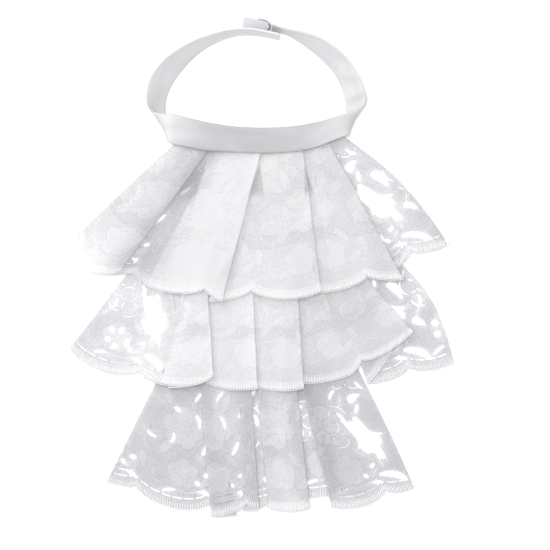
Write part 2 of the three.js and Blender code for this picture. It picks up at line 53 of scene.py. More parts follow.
# ------------------------------------------------------------------ the pleated tiers
# One run of cloth between two folds a row, in order from the left cut edge, in millimetres.
# seam: x of its two ends at the seam. x, y: its two ends at the hem. seam_z, hem_z: their heights.
# at: where the pattern stands at its first end; a run without it lies hidden in a pleat.
# open: which gaps show on it: all, the large ones, or fine, only those too narrow for the solid; on other
# runs the cloth behind closes them.
# tone: painted light and shade, how bright the run is painted, from 0 in shade to 1 lit.
# shape: rise, the stretch in which it climbs from its first height to its last; arch and puff, how far it
# puffs up at the hem, and where; sag, how much deeper its middle hangs; bow, how far its ends swing; single,
# the place from which the cloth behind closes its gaps, if it lies double there.
RUN_COLUMNS = ("name", "seam", "x", "y", "seam_z", "hem_z", "at", "open", "tone", "shape")
TIER_1_RUNS = [
    ("turned in", (-55, -66), (-112, -146), (7, 24), (1.8, 1.8), (0.6, 0.6),
     None, None, 0.3, dict(bow=(-1, -1))),
    ("left roll", (-66, -42), (-147, -116), (25, -5), (4.8, 4.8), (3.4, 9.8),
     8, None, 0.48, dict(arch=12, sag=12, bow=(-1, 0))),
    ("pleat 1", (-42, -49), (-116, -124), (-5, -2), (3.3, 3.3), (7.4, 7.2), None, None, 0.5, dict()),
    ("left valley", (-49, -36), (-124, -92), (-2, -14), (1.8, 1.8), (4.8, 9.8),
     40, "all", 0.2, dict(rise=(0.3, 1))),
    ("second flute", (-36, -1), (-92, -33), (-14, -26), (1.8, 4.8), (9.8, 16.5),
     75, None, 0.88, dict(rise=(0.25, 0.72), arch=6)),
    ("pleat 2", (-1, -9), (-33, -42), (-26, -25), (3.3, 3.3), (14.2, 14.2), None, None, 0.7, dict()),
    ("middle flute", (-9, 31), (-42, 46), (-25, -22), (1.8, 4.8), (11.8, 16.5),
     207, None, 0.62, dict(rise=(0.25, 0.76), arch=7, puff=(0.22, 1))),
    ("pleat 3", (31, 24), (46, 38), (-21, -20), (3.3, 3.3), (14.2, 14.2), None, None, 0.7, dict()),
    ("fourth flute", (24, 50), (38, 110), (-20, -8), (1.8, 4.8), (11.8, 13),
     312, None, 0.6, dict(rise=(0.3, 0.74), arch=5, puff=(0.3, 1))),
    ("pleat 4", (50, 44), (110, 100), (-8, -2), (3.3, 3.3), (10.8, 10.6), None, None, 0.5, dict()),
    ("right end", (44, 62), (100, 148), (-3, 20), (1.8, 1.8), (8.2, 0.6),
     396, "all", 0.27, dict(arch=5, puff=(0.34, 1), bow=(0, 7))),
]
TIER_2_RUNS = [
    ("left end", (-88, -46), (-157, -40), (-68, -93), (3.6, 4.8), (0.6, 12),
     0, "all", 0.3, dict(arch=5, sag=9, single=75)),
    ("pleat 1", (-46, -58), (-40, -74), (-93, -94), (3.3, 3.3), (9.8, 9.6), None, None, 0.6, dict()),
    ("second panel", (-58, -10), (-74, -5), (-94, -96), (1.8, 4.8), (7.6, 12),
     155, None, 0.72, dict(rise=(0.52, 0.76), arch=1.5, puff=(0.55, 1))),
    ("pleat 2", (-10, -18), (-5, -15), (-96, -95), (3.3, 3.3), (9.8, 9.8), None, None, 0.7, dict()),
    ("third panel", (-18, 25), (-15, 32), (-95, -97), (1.8, 4.8), (7.6, 12),
     242, None, 0.66, dict(rise=(0.26, 0.76), arch=3, puff=(0.3, 1))),
    ("pleat 3", (25, 17), (32, 24), (-97, -95), (3.3, 3.3), (9.8, 9.8), None, None, 0.7, dict()),
    ("fourth panel", (17, 37), (24, 72), (-95, -85), (1.8, 4.8), (7.6, 11),
     300, None, 0.43, dict(rise=(0.42, 0.95))),
    ("lifted corner", (37, 58), (72, 119), (-85, -52), (4.8, 4.8), (11, 7.5), 349, None, 0.45, dict(arch=2)),
    ("pleat 4", (58, 49), (119, 84), (-52, -90), (3.3, 3.3), (5.2, 6), None, None, 0.5, dict()),
    ("right end", (49, 88), (84, 153), (-91, -75), (1.8, 1.8), (3.4, 0.6),
     446, "all", 0.28, dict(sag=3, bow=(0, 13))),
]
TIER_3_RUNS = [
    ("left end", (-79, -46), (-124, -22), (-170, -197), (1.8, 1.8), (0.6, 0.6),
     37, "fine", 0.18, dict(arch=1.5, puff=(0, 0.7), sag=7)),
    ("pleat 1", (-46, -50), (-22, -40), (-197, -197), (3.3, 3.3), (3, 3), None, None, 0.4, dict()),
    ("second panel", (-50, -11), (-40, -4), (-197, -194), (4.8, 4.8), (5.6, 5.6),
     152, "fine", 0.36, dict(arch=3)),
    ("pleat 2", (-11, -19), (-4, -14), (-194, -193), (3.3, 3.3), (3.2, 3.2), None, None, 0.3, dict()),
    ("first valley", (-19, 0), (-14, 18), (-192, -190), (1.8, 1.8), (0.7, 0.7), 210, "large", 0.34, dict()),
    ("pleat 3", (0, -5), (18, 6), (-189, -190), (3.3, 3.3), (3, 3), None, None, 0.3, dict()),
    ("third panel", (-5, 25), (6, 37), (-191, -196), (4.8, 4.8), (5.6, 5.6), 266, None, 0.36, dict(arch=3)),
    ("pleat 4", (25, 17), (37, 28), (-196, -189), (3.3, 3.3), (3.2, 3.2), None, None, 0.3, dict()),
    ("second valley", (17, 39), (28, 66), (-184, -180), (1.8, 1.8), (0.7, 0.7), 314, "large", 0.34, dict()),
    ("pleat 5", (39, 28), (66, 56), (-180, -190), (3.3, 3.3), (3, 3), None, None, 0.3, dict()),
    ("right end", (28, 75), (56, 121), (-191, -175), (4.8, 4.2), (5.6, 0.6),
     376, "large", 0.1, dict(arch=4, sag=4, bow=(0, 1))),
]
# seam_line: the seam's y as a, b, c of a + b x + c x². cut: the length of edging that it takes, with the
# pleats laid out; area: of the cloth as it lies, its openings left out, in square millimetres.
TIER_COLUMNS = ("name", "seam_line", "cut", "area", "runs")
TIERS = [
    ("lace_tier_1", (94.6, 0.0583, 0.00221), 503, 40070, TIER_1_RUNS),
    ("lace_tier_2", (17.5, 0, 0.0004), 517, 42960, TIER_2_RUNS),
    ("lace_tier_3", (-78, 0, -0.0002), 406, 34930, TIER_3_RUNS),
]
LACE_DEPTH = 114.0  # from the seam to the mean line of the scallops
SCALLOP_PITCH = 60.0  # one repeat of the edging
SCALLOP_DROP = 9.0  # how far a scallop hangs below the notch between two
SCALLOP_MEAN = 0.7  # the scallops' mean line, as a share of the drop
CLOTH_STEP = 0.9  # the mesh of the lace, as fine as its thin slits need
HIDDEN_STEP = 2.5 * CLOTH_STEP  # the mesh of a run that lies hidden in a pleat
CLOTH_CLEARANCE = 0.15  # the least height of the lace over the surface
TONE_EDGE = 0.34  # the share of a run at each end in which its painted light and shade blend into the next one's
DOUBLE_LAYER_LIGHT = 0.3  # painted light: how much brighter a run is painted where it comes to lie double, for the light the layer behind sends back
DOUBLE_EDGE = 8.0  # the stretch over which the cloth behind comes to show
BEND_STEPS = 5  # rows of points round a fold
BEND_GUIDE = 0.9  # a place on a run by which the way out over its fold is found

CREASE_FADE = 0.25  # the share of the lace's depth over which a crease fades at each end
SEAM_FADE = 0.4  # the share by the seam in which all creases grow from nothing
# Soft creases that run down the cloth. along: the place at the hem; lean: how far it drifts along the cloth
# from the hem to the seam; wide: half its width; deep: its height, a trough if negative; top, end: the
# stretch from the seam to the hem that it takes up, in shares.
CREASE_COLUMNS = ("along", "lean", "wide", "deep", "top", "end")
CREASES = {
    "lace_tier_1": [
        (20, 6, 7, 1.3, 0.1, 0.9),
        (36, -2, 6, -1.1, 0.3, 1.2),
        (58, 3, 5, 0.9, 0.2, 0.9),
        (92, -8, 7, 1.2, 0.1, 1.1),
        (108, -3, 5, -1.4, 0.25, 1.2),
        (121, 2, 6, 1.2, 0.05, 0.8),
        (226, -7, 7, -1.3, 0.1, 1.0),
        (242, -1, 6, 1.3, 0.3, 1.2),
        (262, 3, 8, -1.3, 0.15, 1.1),
        (281, 5, 5, 1.0, 0.0, 0.7),
        (330, -6, 6, 1.1, 0.1, 0.9),
        (347, 0, 7, -1.5, 0.25, 1.2),
        (368, 5, 7, 1.3, 0.1, 1.1),
        (414, -3, 6, -1.2, 0.2, 1.1),
        (433, 4, 6, 1.1, 0.1, 0.9),
    ],
    "lace_tier_2": [
        (28, -4, 8, 0.9, 0.3, 1.1),
        (58, 2, 7, -1.0, 0.2, 1.1),
        (84, 0, 6, 1.1, 0.3, 1.2),
        (104, 5, 6, -0.9, 0.1, 0.9),
        (170, -3, 6, 0.9, 0.2, 1.1),
        (189, 0, 7, -1.1, 0.1, 1.2),
        (207, 3, 5, 0.8, 0.3, 1.0),
        (258, -3, 6, -0.9, 0.1, 1.1),
        (275, 2, 6, 1.0, 0.25, 1.2),
        (318, -2, 6, -0.9, 0.2, 1.1),
        (366, 2, 7, 1.0, 0.3, 1.1),
        (470, -3, 7, 0.9, 0.2, 1.1),
        (492, 3, 7, -0.5, 0.3, 1.1),
    ],
    "lace_tier_3": [
        (67, -5, 8, 0.8, 0.3, 1.1),
        (99, 0, 7, 0.9, 0.1, 1.0),
        (121, 4, 6, 0.7, 0.3, 1.2),
        (164, -2, 5, 0.9, 0.1, 1.1),
        (178, 2, 5, -0.8, 0.2, 1.0),
        (280, 0, 5, 0.8, 0.2, 1.1),
        (398, -3, 7, 0.9, 0.2, 1.1),
        (420, 3, 7, -0.7, 0.3, 1.2),
    ],
}

SHADOW_FADE = 0.3  # the share of a wedge's length over which its end fades
# Shade in the mouths of the top tier's pleats: wedges that start from a point and widen down the cloth.
# x, y: the point; long: the length; wide: half the width at the end; turn: the way it runs, seen from above;
# soft: how gently its sides fade; deep: how dark it is, from 0 to 1.
SHADOW_COLUMNS = ("x", "y", "long", "wide", "turn", "soft", "deep")
SHADOWS = {
    "lace_tier_1": [
        (-43, 88, 44, 10, -119, 1.6, 0.26),
        (-2, 84, 32, 8, -96, 1.0, 0.28),
        (33, 84, 30, 5, -80, 1.0, 0.26),
        (-8, 40, 66, 11, -113, 5.0, 0.13),
        (38, 46, 60, 8, -84, 5.0, 0.08),
    ],
}

# ------------------------------------------------------------------ one repeat of the edging lace
# Places are on the flat lace: along from the notch between two scallops, across from the seam.
# Open gaps, turned from the seam's direction; bow bends the long axis, lobes scallop the rim by wave.
GAP_COLUMNS = ("name", "along", "across", "length", "width", "turn", "bow", "lobes", "wave")
GAPS = [
    ("ground", 59, 63, 38, 16, 66, 0, 5, 0.2),
    ("above", 34, 22, 20, 9, 14, 0, 4, 0.15),
    ("leaf", 13, 46, 16, 7, 74, 0.02, 3, 0.14),
    ("crescent", 11, 98, 24, 5.4, 32, 0.02, 0, 0),
    ("sprig", 0, 28, 12, 6, -30, 0.03, 3, 0.14),
    ("side", 19, 76, 11, 5.4, 40, 0.03, 3, 0.14),
    ("eyelet 1", 31, 82, 6, 4.8, 60, 0, 0, 0),
    ("eyelet 2", 38.5, 80, 6, 4.8, 100, 0, 0, 0),
    ("eyelet 3", 30, 90.5, 5.6, 4.8, 10, 0, 0, 0),
    ("eyelet 4", 37, 94, 6, 4.8, 150, 0, 0, 0),
    ("eyelet 5", 45, 88.5, 7, 5, 80, 0, 0, 0),
]
# Openings under 4 mm wide, which the solid leaves whole.
FINE_GAPS = [
    ("slanted", 54, 65, 13, 3.8, 118, 0.01, 0, 0),
    ("pair 1", 49, 93, 5, 3.6, 40, 0, 0, 0),
    ("pair 2", 56.5, 86, 5.4, 3.6, -20, 0, 0, 0),
    ("hook", 27, 60, 9, 2.6, 100, 0.06, 0, 0),
    ("tendril", 46, 44, 12, 2.8, 70, 0.04, 0, 0),
    ("comma", 9, 62, 9, 2.8, 20, -0.05, 0, 0),
    ("seam slit", 44, 24, 11, 2.8, -50, 0.03, 0, 0),
    ("stem slit", 8, 18, 9, 2.6, 60, -0.03, 0, 0),
    ("hem slit", 27, 102, 12, 2.4, -18, 0.02, 0, 0),
    ("notch slit", 57, 100, 9, 3, 14, 0.03, 0, 0),
    ("drop", 28, 36, 6, 3.4, 30, 0, 0, 0),
    ("vein", 60, 38, 9, 3, 118, 0.02, 0, 0),
]
GAP_SIDES = {"wide": 12, "small": 6}  # corners of a gap's rim
SMALL_GAP = 8.0  # a gap shorter than this has a small one's corners
FOLD_MARGIN = 2.5  # the least cloth left between a gap and a fold
SEAM_MARGIN = 16.0  # the cloth by the seam is left without slits
HEM_SLITS = 20.0  # a run with fine gaps alone has its slits this near the hem
# Flowers of dense cloth stitch. heart: the ring round the middle; slits: whether thin slits outline it.
FLOWER_COLUMNS = ("name", "along", "across", "radius", "petals", "turn", "heart", "slits")
FLOWERS = [
    ("open rose", 35, 50, 17.5, 6, 12, 0.36, True),
    ("small rose", 5, 10, 9.5, 5, 30, 0.34, True),
    ("eyelet flower", 37, 87, 13, 5, 50, 0.3, False),
    ("bud", 52, 12, 7, 4, 20, 0.3, True),
]
# Pointed leaves with a slit for the vein.
LEAF_COLUMNS = ("name", "along", "across", "length", "width", "turn")
LEAVES = [
    ("upper leaf", 20, 26, 19, 8, 62),
    ("lower leaf", 22, 68, 17, 7.5, -52),
    ("far leaf", 50, 74, 15, 7, 48),
    ("seam leaf", 20, 8, 15, 6.5, -20),
    ("side leaf", 49, 30, 17, 7.5, -66),
    ("notch leaf", 4, 84, 15, 7, 80),
    ("edge leaf", 56, 92, 16, 7, -38),
    ("small leaf", 36, 8, 11, 5, 35),
]
# Curved stems of thick thread: arcs round a centre, from one angle to the other.
STEM_COLUMNS = ("name", "along", "across", "radius", "start", "stop")
STEMS = [
    ("long stem", 2, 48, 21, -78, 30),
    ("rose stem", 62, 34, 20, 112, 214),
    ("scroll", 12, 66, 8, 20, 290),
    ("seam scroll", 28, 14, 7, 150, 400),
    ("edge scroll", 20, 92, 7, -30, 200),
]
STEM_TAPER = 3.0  # how blunt a stem's ends are
# In the pattern's fields a place is positive inside what they mark, and at this value far outside it.
FAR_OUTSIDE = -9.0
LOOSE_ISLAND = -0.3  # what a loose island of cloth is set to
LEAST_CUT = 0.04  # a rim crosses a side of the grid no nearer its ends than this share
SLIT_WIDTH = 1.1
THREAD_WIDTH = 1.3
MOTIF_RELIEF = 0.05  # how far the motifs and the threads stand proud of the ground
THREAD_RELIEF = 0.09
MOTIF_EDGE = 1.6  # the widths over which a motif and a thread fade into the ground
THREAD_EDGE = 0.9
GAP_THREAD = 0.7  # the thread round a gap, out from its rim
# A flower's slits between the petals run from so many radii of its heart to so far inside the rim. Bars of
# thread cross the slits round its rim and its heart: open, from -1 to 1, is how much of a slit they leave.
PETAL_DIP = 0.28  # how far the rim draws in between two petals, as a share of the radius
PETAL_PARTING = dict(start=1.35, inside=1.6)
RIM_SLIT = dict(outside=0.9, turn=0.6, open=0.75)
RIM_THREAD = 0.4  # inside the rim
HEART_SLIT = dict(width=0.9, bars=3, open=0.6)
HEART_THREAD = 0.72  # in radii of the heart
# A leaf's fullness is the power of its outline. Its vein is a slit along a share of its length.
LEAF_FULLNESS = 0.8
LEAF_VEIN = dict(width=0.8, reach=0.3)
LEAF_THREAD = 0.3  # inside the rim
BAR_PITCH = 9.0  # bars of thread that bridge a long slit
BAR_WIDTH = 1.0
LAYER_SHIFT = (23.0, 31.0)  # how far the pattern of the layer behind stands from the one in front
# The woven border along the scallops. inside: from the lace's edge; start, stop: the stretch of a repeat.
BORDER_DEPTH = 8.0
BORDER_SLITS = [
    dict(inside=9.5, width=1.1, start=0.06, stop=0.94),
    dict(inside=14.5, width=0.9, start=0.56, stop=0.97),
]
BORDER_THREADS = [dict(inside=4.5, width=1.6), dict(inside=7.6, width=THREAD_WIDTH)]
EDGE_DEPTH = 3.6  # the overcast edge, outside the woven border
EDGE_ROOT = 1.4  # how far the stitches reach in past it
EDGE_SHORT = 1.2  # the cloth ends this much inside the stitches' tips
EDGE_STITCH_PITCH = 2.1
EDGE_STITCH_WIDTH = 0.95
EDGE_RIM_WIDTH = 0.8
EDGE_ENDS = (0.6, 0.4)  # bare lengths before the first stitch and after the last
RIM_IN = 0.06  # how far the thread round the tips lies in, as a share of a stitch
STITCH_CLEARANCE = 0.1  # the least height of the stitches over the surface
STITCH_SIDES = 6
STITCH_RINGS = [(0.0, 0.55), (0.5, 1.0), (1.0, 0.6)]  # places along a stitch, and how thick it is there
STITCH_LIFT = 0.35  # its middle over the cloth, in millimetres
STITCH_FLAT = 0.7  # its height as a share of its width

# ------------------------------------------------------------------ the neckband and its closure
# Sections of a strip, smoothly joined. x, y: its middle; width: from edge to edge; turn: where its upper
# edge points, seen from above; lean: how far that edge is raised, from 0 (flat) to 90 (on edge); lift: how
# high its lower edge lies.
SECTION_COLUMNS = ("x", "y", "width", "turn", "lean", "lift")
BAND_SECTIONS = [
    (13.2, 183.5, 20.5, 74, 81, 0.1),
    (2, 186, 20.5, 80, 81, 0.1),
    (-13, 187.8, 20.5, 90, 79, 0.1),
    (-29.2, 185.8, 20.5, 105, 75, 0.1),
    (-46.6, 179.2, 20.5, 120, 66, 0.1),
    (-60.6, 170.8, 20.5, 134, 52, 0.1),
    (-72.2, 160.4, 20.5, 147, 37, 0.1),
    (-80.8, 148.6, 20.5, 157, 30, 0.1),
    (-84.6, 137.3, 20.5, 163, 38, 0.1),
    (-85, 128, 20.5, 155, 38, 0.1),
    (-82.8, 119.6, 21, 138, 24, 0.8),
    (-80.8, 113.6, 23, 120, 12, 5),
    (-77.4, 110.8, 24, 104, 4, 9.8),
    (-71, 109.8, 24, 88, 3, 11),
    (-60, 107.4, 23, 79, 2, 10.4),
    (-44, 104.1, 22.6, 80, 0, 8.4),
    (-24, 102.1, 20.6, 86, 0, 6.2),
    (0, 101.1, 20.5, 90, 0, 5.8),
    (24, 102.1, 20.5, 94, 0, 6.2),
    (40, 104.9, 20, 99, 0, 8),
    (52, 108.6, 18, 103, 2, 10),
    (62, 112, 17.4, 102, 3, 11),
    (68, 114, 17.8, 90, 5, 10),
    (71.8, 116.2, 19, 70, 12, 6.4),
    (73.8, 120.6, 20, 50, 20, 2),
    (74.6, 128, 20.5, 33, 28, 0.2),
    (73, 139, 20.5, 26, 40, 0.1),
    (65.4, 155.9, 20.5, 33, 44, 0.1),
    (55.4, 167.7, 20.5, 46, 47, 0.1),
    (42.2, 177.8, 20.5, 58, 56, 0.1),
    (27.4, 185.0, 20.5, 68, 73, 0.1),
    (16.4, 188.6, 20.5, 75, 82, 0.1),
    (7.6, 190.9, 20.5, 76, 76, 0.1),
]
BAND_WALL = 1.8
BAND_SECTION_STEPS = 12
BAND_CROWN = 0.12  # how much thinner the folded strip is by its edges than in its middle
BAND_FACE = (0.96, 17)  # how far the face reaches from the middle, and its points
BAND_EDGE = [(-0.985, 0.6), (-1.0, 0.2), (-1.0, -0.2), (-0.985, -0.6)]  # across and through, round a fold
DENT_HALF_WIDTH = 10.0  # the half width of the band that dents are set out on
# Painted light and shade along the strip: the section's number and how bright the satin is painted there,
# from 0 in shade to 1 lit.
BAND_PAINTED_LIGHT = [
    (0, 1.0),
    (2, 0.9),
    (4, 0.75),
    (8, 0.6),
    (10, 0.55),
    (12.5, 0.68),
    (14, 0.36),
    (15.5, 0.12),
    (18.5, 0.12),
    (19.5, 0.3),
    (21, 0.48),
    (23, 0.55),
    (25, 0.68),
    (32, 0.7),
]
# Soft dents in the satin. at: the section's number; across: from the middle, in shares of the half width;
# long, wide: their half sizes; deep: how far out of the cloth.
DENT_COLUMNS = ("at", "across", "long", "wide", "deep")
BAND_DENTS = [
    (4.6, 0.3, 9, 5, -0.7),
    (6.4, -0.2, 7, 6, 0.6),
    (7.7, 0.4, 5, 6, -0.6),
    (9.0, -0.3, 5, 5, 0.5),
    (13.6, 0.1, 7, 7, -0.6),
    (15.2, -0.4, 12, 5, 0.5),
    (17.0, 0.3, 20, 6, -0.5),
    (18.5, -0.5, 13, 4, 0.4),
    (20.2, 0.2, 7, 6, -0.5),
    (24.7, -0.2, 3, 6, -0.9),
    (25.3, 0.4, 3.5, 6, 1.2),
    (25.9, -0.3, 4, 6, -1.3),
    (26.4, 0.2, 4, 7, 1.3),
    (26.9, -0.2, 4.5, 6, -1.0),
    (27.5, 0.5, 6, 5, 0.8),
    (28.1, -0.4, 5, 5, -0.6),
    (28.9, 0.0, 9, 6, -0.5),
]
TAB_SECTIONS = [
    (6.9, 191.2, 18.5, 76, 74, 0.6),
    (2, 192.2, 18.5, 77, 72, 0.5),
    (-6, 193.6, 18.5, 78, 68, 0.4),
    (-15.4, 195.2, 18.5, 79, 64, 0.4),
]
TAB_WALL = 2.2
TAB_RIBS = 6
TAB_GROOVE = 0.5
TAB_POINTS = 6  # points across a rib
TAB_SECTION_STEPS = 16
# The wire's middle line, from its sewn end to its tip.
HOOK_PATH = [
    (-3.4, 197.0, 19.4),
    (0.6, 196.4, 19.8),
    (4.4, 194.6, 20.1),
    (6.0, 191.4, 19.6),
    (5.4, 189.2, 17.6),
    (4.0, 188.9, 15.6),
]
HOOK_WIRE = 1.2

# ------------------------------------------------------------------ the net panel
# half: its half width at y.
NET_MIDDLE = -2.0
NET_COLUMNS = ("y", "half")
NET_WIDTHS = [(92, 60), (14, 78), (-84, 72)]
NET_LEVEL = 0.5  # the middle of its thickness
NET_STEP = 4.0
NET_WAVE = dict(high=0.25, across=9.0, down=14.0)  # it lies a little unevenly

# ------------------------------------------------------------------ the view
VIEW_MIDDLE = (10.0, -6.4)
VIEW_WIDTH = 440.0
CAMERA_LENS = 250.0  # long, so that all of it is seen straight from above
SENSOR_WIDTH = 36.0
FAR_CLIP = 100.0  # in metres, as the sizes below
FLOOR_SIZE = 8.0
FLOOR_LEVEL = -0.0003  # just under the jabot, so that the two don't meet
KEY_LAMP = ((-1.8, 1.6, 2.2), 1.6)  # where it hangs, and how wide it is
OVERHEAD_LAMP = ((-0.3, 0.3, 3.4), 1.2)


def linear(hex_colour):
    """An sRGB hex colour as linear red, green and blue."""
    channels = [((hex_colour >> shift) & 255) / 255 for shift in (16, 8, 0)]
    return tuple(c / 12.92 if c <= 0.04045 else ((c + 0.055) / 1.055) ** 2.4 for c in channels)


def named(columns, rows):
    """A table's rows as dicts."""
    return [dict(zip(columns, row)) for row in rows]


def smoothstep(x):
    x = np.clip(x, 0, 1)
    return x * x * (3 - 2 * x)


def mix(a, b, share):
    return a + (b - a) * share


# ------------------------------------------------------------------ the surface of a tier
def on_run(tier, run, f, t):
    """Points of a run: f from its first end to its last, t from the seam to the hem, as arrays."""
    f, t = np.broadcast_arrays(np.asarray(f, float), np.asarray(t, float))
    shape = run["shape"]
    rise = shape.get("rise")
    climb = smoothstep((f - rise[0]) / (rise[1] - rise[0])) if rise else f
    puff = shape.get("puff", (0, 1))
    swell = np.sin(np.pi * np.clip((f - puff[0]) / (puff[1] - puff[0]), 0, 1))
    a, b, c = tier["seam_line"]
    seam_x = mix(*run["seam"], f)
    seam_y = a + b * seam_x + c * seam_x**2
    hem_x = mix(*run["x"], f)
    hem_y = mix(*run["y"], f)
    side_x = seam_y - hem_y
    side_y = hem_x - seam_x
    length = np.hypot(side_x, side_y)
    swing = mix(*shape.get("bow", (0, 0)), f) * np.sin(np.pi * np.minimum(t, 1)) / length
    deeper = t * (1 + shape.get("sag", 0) / LACE_DEPTH * np.sin(np.pi * f))
    x = mix(seam_x, hem_x, deeper) + side_x * swing
    y = mix(seam_y, hem_y, deeper) + side_y * swing
    z = mix(mix(*run["seam_z"], climb), mix(*run["hem_z"], climb), t) + shape.get("arch", 0) * t * swell
    return np.stack([x, y, z], axis=-1)


def width_of_run(tier, run, t):
    return np.linalg.norm(on_run(tier, run, 1.0, t) - on_run(tier, run, 0.0, t), axis=-1)


def pattern_spans(tier):
    """The stretch of the flat lace that each run takes up at the hem; a hidden run takes what is between."""
    runs = tier["runs"]
    spans = [None] * len(runs)
    for k, run in enumerate(runs):
        if run["at"] is not None:
            spans[k] = (run["at"], run["at"] + float(width_of_run(tier, run, 1.0)))
    for k, run in enumerate(runs):
        if spans[k] is None:
            first = spans[k - 1][1] if k else spans[1][0] - float(width_of_run(tier, run, 1.0))
            spans[k] = (first, spans[k + 1][0])
    return spans


def lace_depth(along):
    """How deep the lace is at a place along it, scallops included."""
    wave = np.abs(np.sin(np.pi * along / SCALLOP_PITCH))
    return LACE_DEPTH + SCALLOP_DROP * (np.sqrt(wave) - SCALLOP_MEAN)


def flows_on(run, following):
    """A run that the next one carries on from at the same height has no fold between them."""
    return run["x"][1] == following["x"][0] and run["hem_z"][1] == following["hem_z"][0]


def run_places(tier, k, t):
    """f, and the pattern's place along the cloth, on a run's even columns, at the shares t down each."""
    run = tier["runs"][k]
    start, end = tier["spans"][k]
    width = max(abs(end - start), float(width_of_run(tier, run, 1.0)))
    steps = max(2, math.ceil(width / (HIDDEN_STEP if run["at"] is None else CLOTH_STEP)))
    f = np.linspace(0, 1, steps + 1)
    return f, (start + end) / 2 + (f[:, None] - 0.5) * width_of_run(tier, run, t)[None, :]


def fold_points(tier, k, turn, t):
    """Points on the fold from a run to the next one; turn goes from 0 to 1 round it."""
    run, following = tier["runs"][k], tier["runs"][k + 1]
    before = on_run(tier, run, 1.0, t)
    after = on_run(tier, following, 0.0, t)
    outward = before - on_run(tier, run, BEND_GUIDE, t)
    outward[..., 2] = 0
    outward /= np.linalg.norm(outward, axis=-1, keepdims=True)
    radius = np.abs(before[..., 2:] - after[..., 2:]) / 2
    angle = math.pi * turn
    return mix(before, after, (1 - math.cos(angle)) / 2) + outward * radius * math.sin(angle)


def cloth_columns(tier, rows, short=0.0):
    """The grid of a tier: points, along and across, each an array of columns by rows, and each column's run.

    short stops the grid that much before the scalloped edge. A column on a fold has the run number -1.
    """
    share = np.linspace(0, 1, rows)
    points, alongs, acrosses, numbers = [], [], [], []
    for k, run in enumerate(tier["runs"]):
        even = share * (LACE_DEPTH - short) / LACE_DEPTH
        f, place = run_places(tier, k, even)
        deep = lace_depth(place[:, -1:]) - short
        across = share[None, :] * deep
        points.append(on_run(tier, run, f[:, None], across / LACE_DEPTH))
        alongs.append(place)
        acrosses.append(across)
        numbers.extend([k] * len(f))
        if k + 1 == len(tier["runs"]):
            continue
        if flows_on(run, tier["runs"][k + 1]):
            points[-1], alongs[-1], acrosses[-1] = points[-1][:-1], alongs[-1][:-1], acrosses[-1][:-1]
            numbers.pop()
            continue
        _, next_place = run_places(tier, k + 1, even)
        for step in range(1, BEND_STEPS + 1):
            turn = step / (BEND_STEPS + 1)
            points.append(fold_points(tier, k, turn, across[-1] / LACE_DEPTH)[None])
            alongs.append(mix(place[-1], next_place[0], turn)[None])
            acrosses.append(across[-1][None])
            numbers.append(-1)
    return np.concatenate(points), np.concatenate(alongs), np.concatenate(acrosses), np.array(numbers)


def grid_normals(points):
    """Unit normals of a grid of points, upwards where the cloth lies face up."""
    across = np.gradient(points, axis=0)
    down = np.gradient(points, axis=1)
    normals = np.cross(down, across)
    return normals / np.maximum(np.linalg.norm(normals, axis=-1, keepdims=True), 1e-9)


def painted_light_of(tier, along):
    """How bright each column of a tier's grid is painted: painted light and shade set run by run, brighter
    where a run lies double, blended softly from run to run.
    """
    stops, painted_lights = [], []
    for run, (start, end) in zip(tier["runs"], tier["spans"]):
        if run["at"] is None:
            continue
        stops += [mix(start, end, TONE_EDGE), mix(start, end, 1 - TONE_EDGE)]
        painted_lights += [run["tone"], run["tone"] + (DOUBLE_LAYER_LIGHT if "single" in run["shape"] else 0)]
    return np.broadcast_to(np.interp(along[:, -1], stops, painted_lights)[:, None], along.shape)


def crease_height(name, along, across):
    """How far the soft creases raise the cloth."""
    height = np.zeros_like(along)
    for crease in named(CREASE_COLUMNS, CREASES[name]):
        share = across / LACE_DEPTH
        middle = crease["along"] + crease["lean"] * (1 - share)
        bell = np.exp(-(((along - middle) / crease["wide"]) ** 2))
        starts = smoothstep((share - crease["top"]) / CREASE_FADE)
        ends = smoothstep((crease["end"] - share) / CREASE_FADE)
        height += crease["deep"] * bell * starts * ends
    return height * smoothstep(across / (SEAM_FADE * LACE_DEPTH))


def shadow_of(name, points):
    """How deep in shade each point of a tier's grid lies."""
    shade = np.zeros(points.shape[:-1])
    for spot in named(SHADOW_COLUMNS, SHADOWS.get(name, [])):
        x, y = swung(points[..., 0] - spot["x"], points[..., 1] - spot["y"], spot["turn"])
        sides = smoothstep((spot["wide"] * x / spot["long"] - np.abs(y)) / spot["soft"])
        end = smoothstep((spot["long"] - x) / (SHADOW_FADE * spot["long"]))
        shade = np.maximum(shade, spot["deep"] * sides * end)
    return shade


# ------------------------------------------------------------------ the lace's pattern
def swung(dx, dy, turn):
    """Offsets seen along an axis that is turned by so many degrees."""
    angle = math.radians(turn)
    return dx * math.cos(angle) + dy * math.sin(angle), dy * math.cos(angle) - dx * math.sin(angle)


def turned(along, across, middle_along, middle_across, turn):
    """Places seen from the nearest repeat of a motif's middle, with its long axis along x."""
    dx = (along - middle_along + SCALLOP_PITCH / 2) % SCALLOP_PITCH - SCALLOP_PITCH / 2
    return swung(dx, across - middle_across, turn)


def outside_gap(gap, repeat, along, across):
    """Distance outside a gap's rim, negative in it."""
    middle = gap["along"] + repeat * SCALLOP_PITCH
    x, y = swung(along - middle, across - gap["across"], gap["turn"])
    long, wide = x / (gap["length"] / 2), (y - gap["bow"] * x * x) / (gap["width"] / 2)
    reach = 1 + gap["wave"] * np.cos(gap["lobes"] * np.arctan2(wide, long))
    return (np.hypot(long, wide) / reach - 1) * min(gap["length"], gap["width"]) / 2


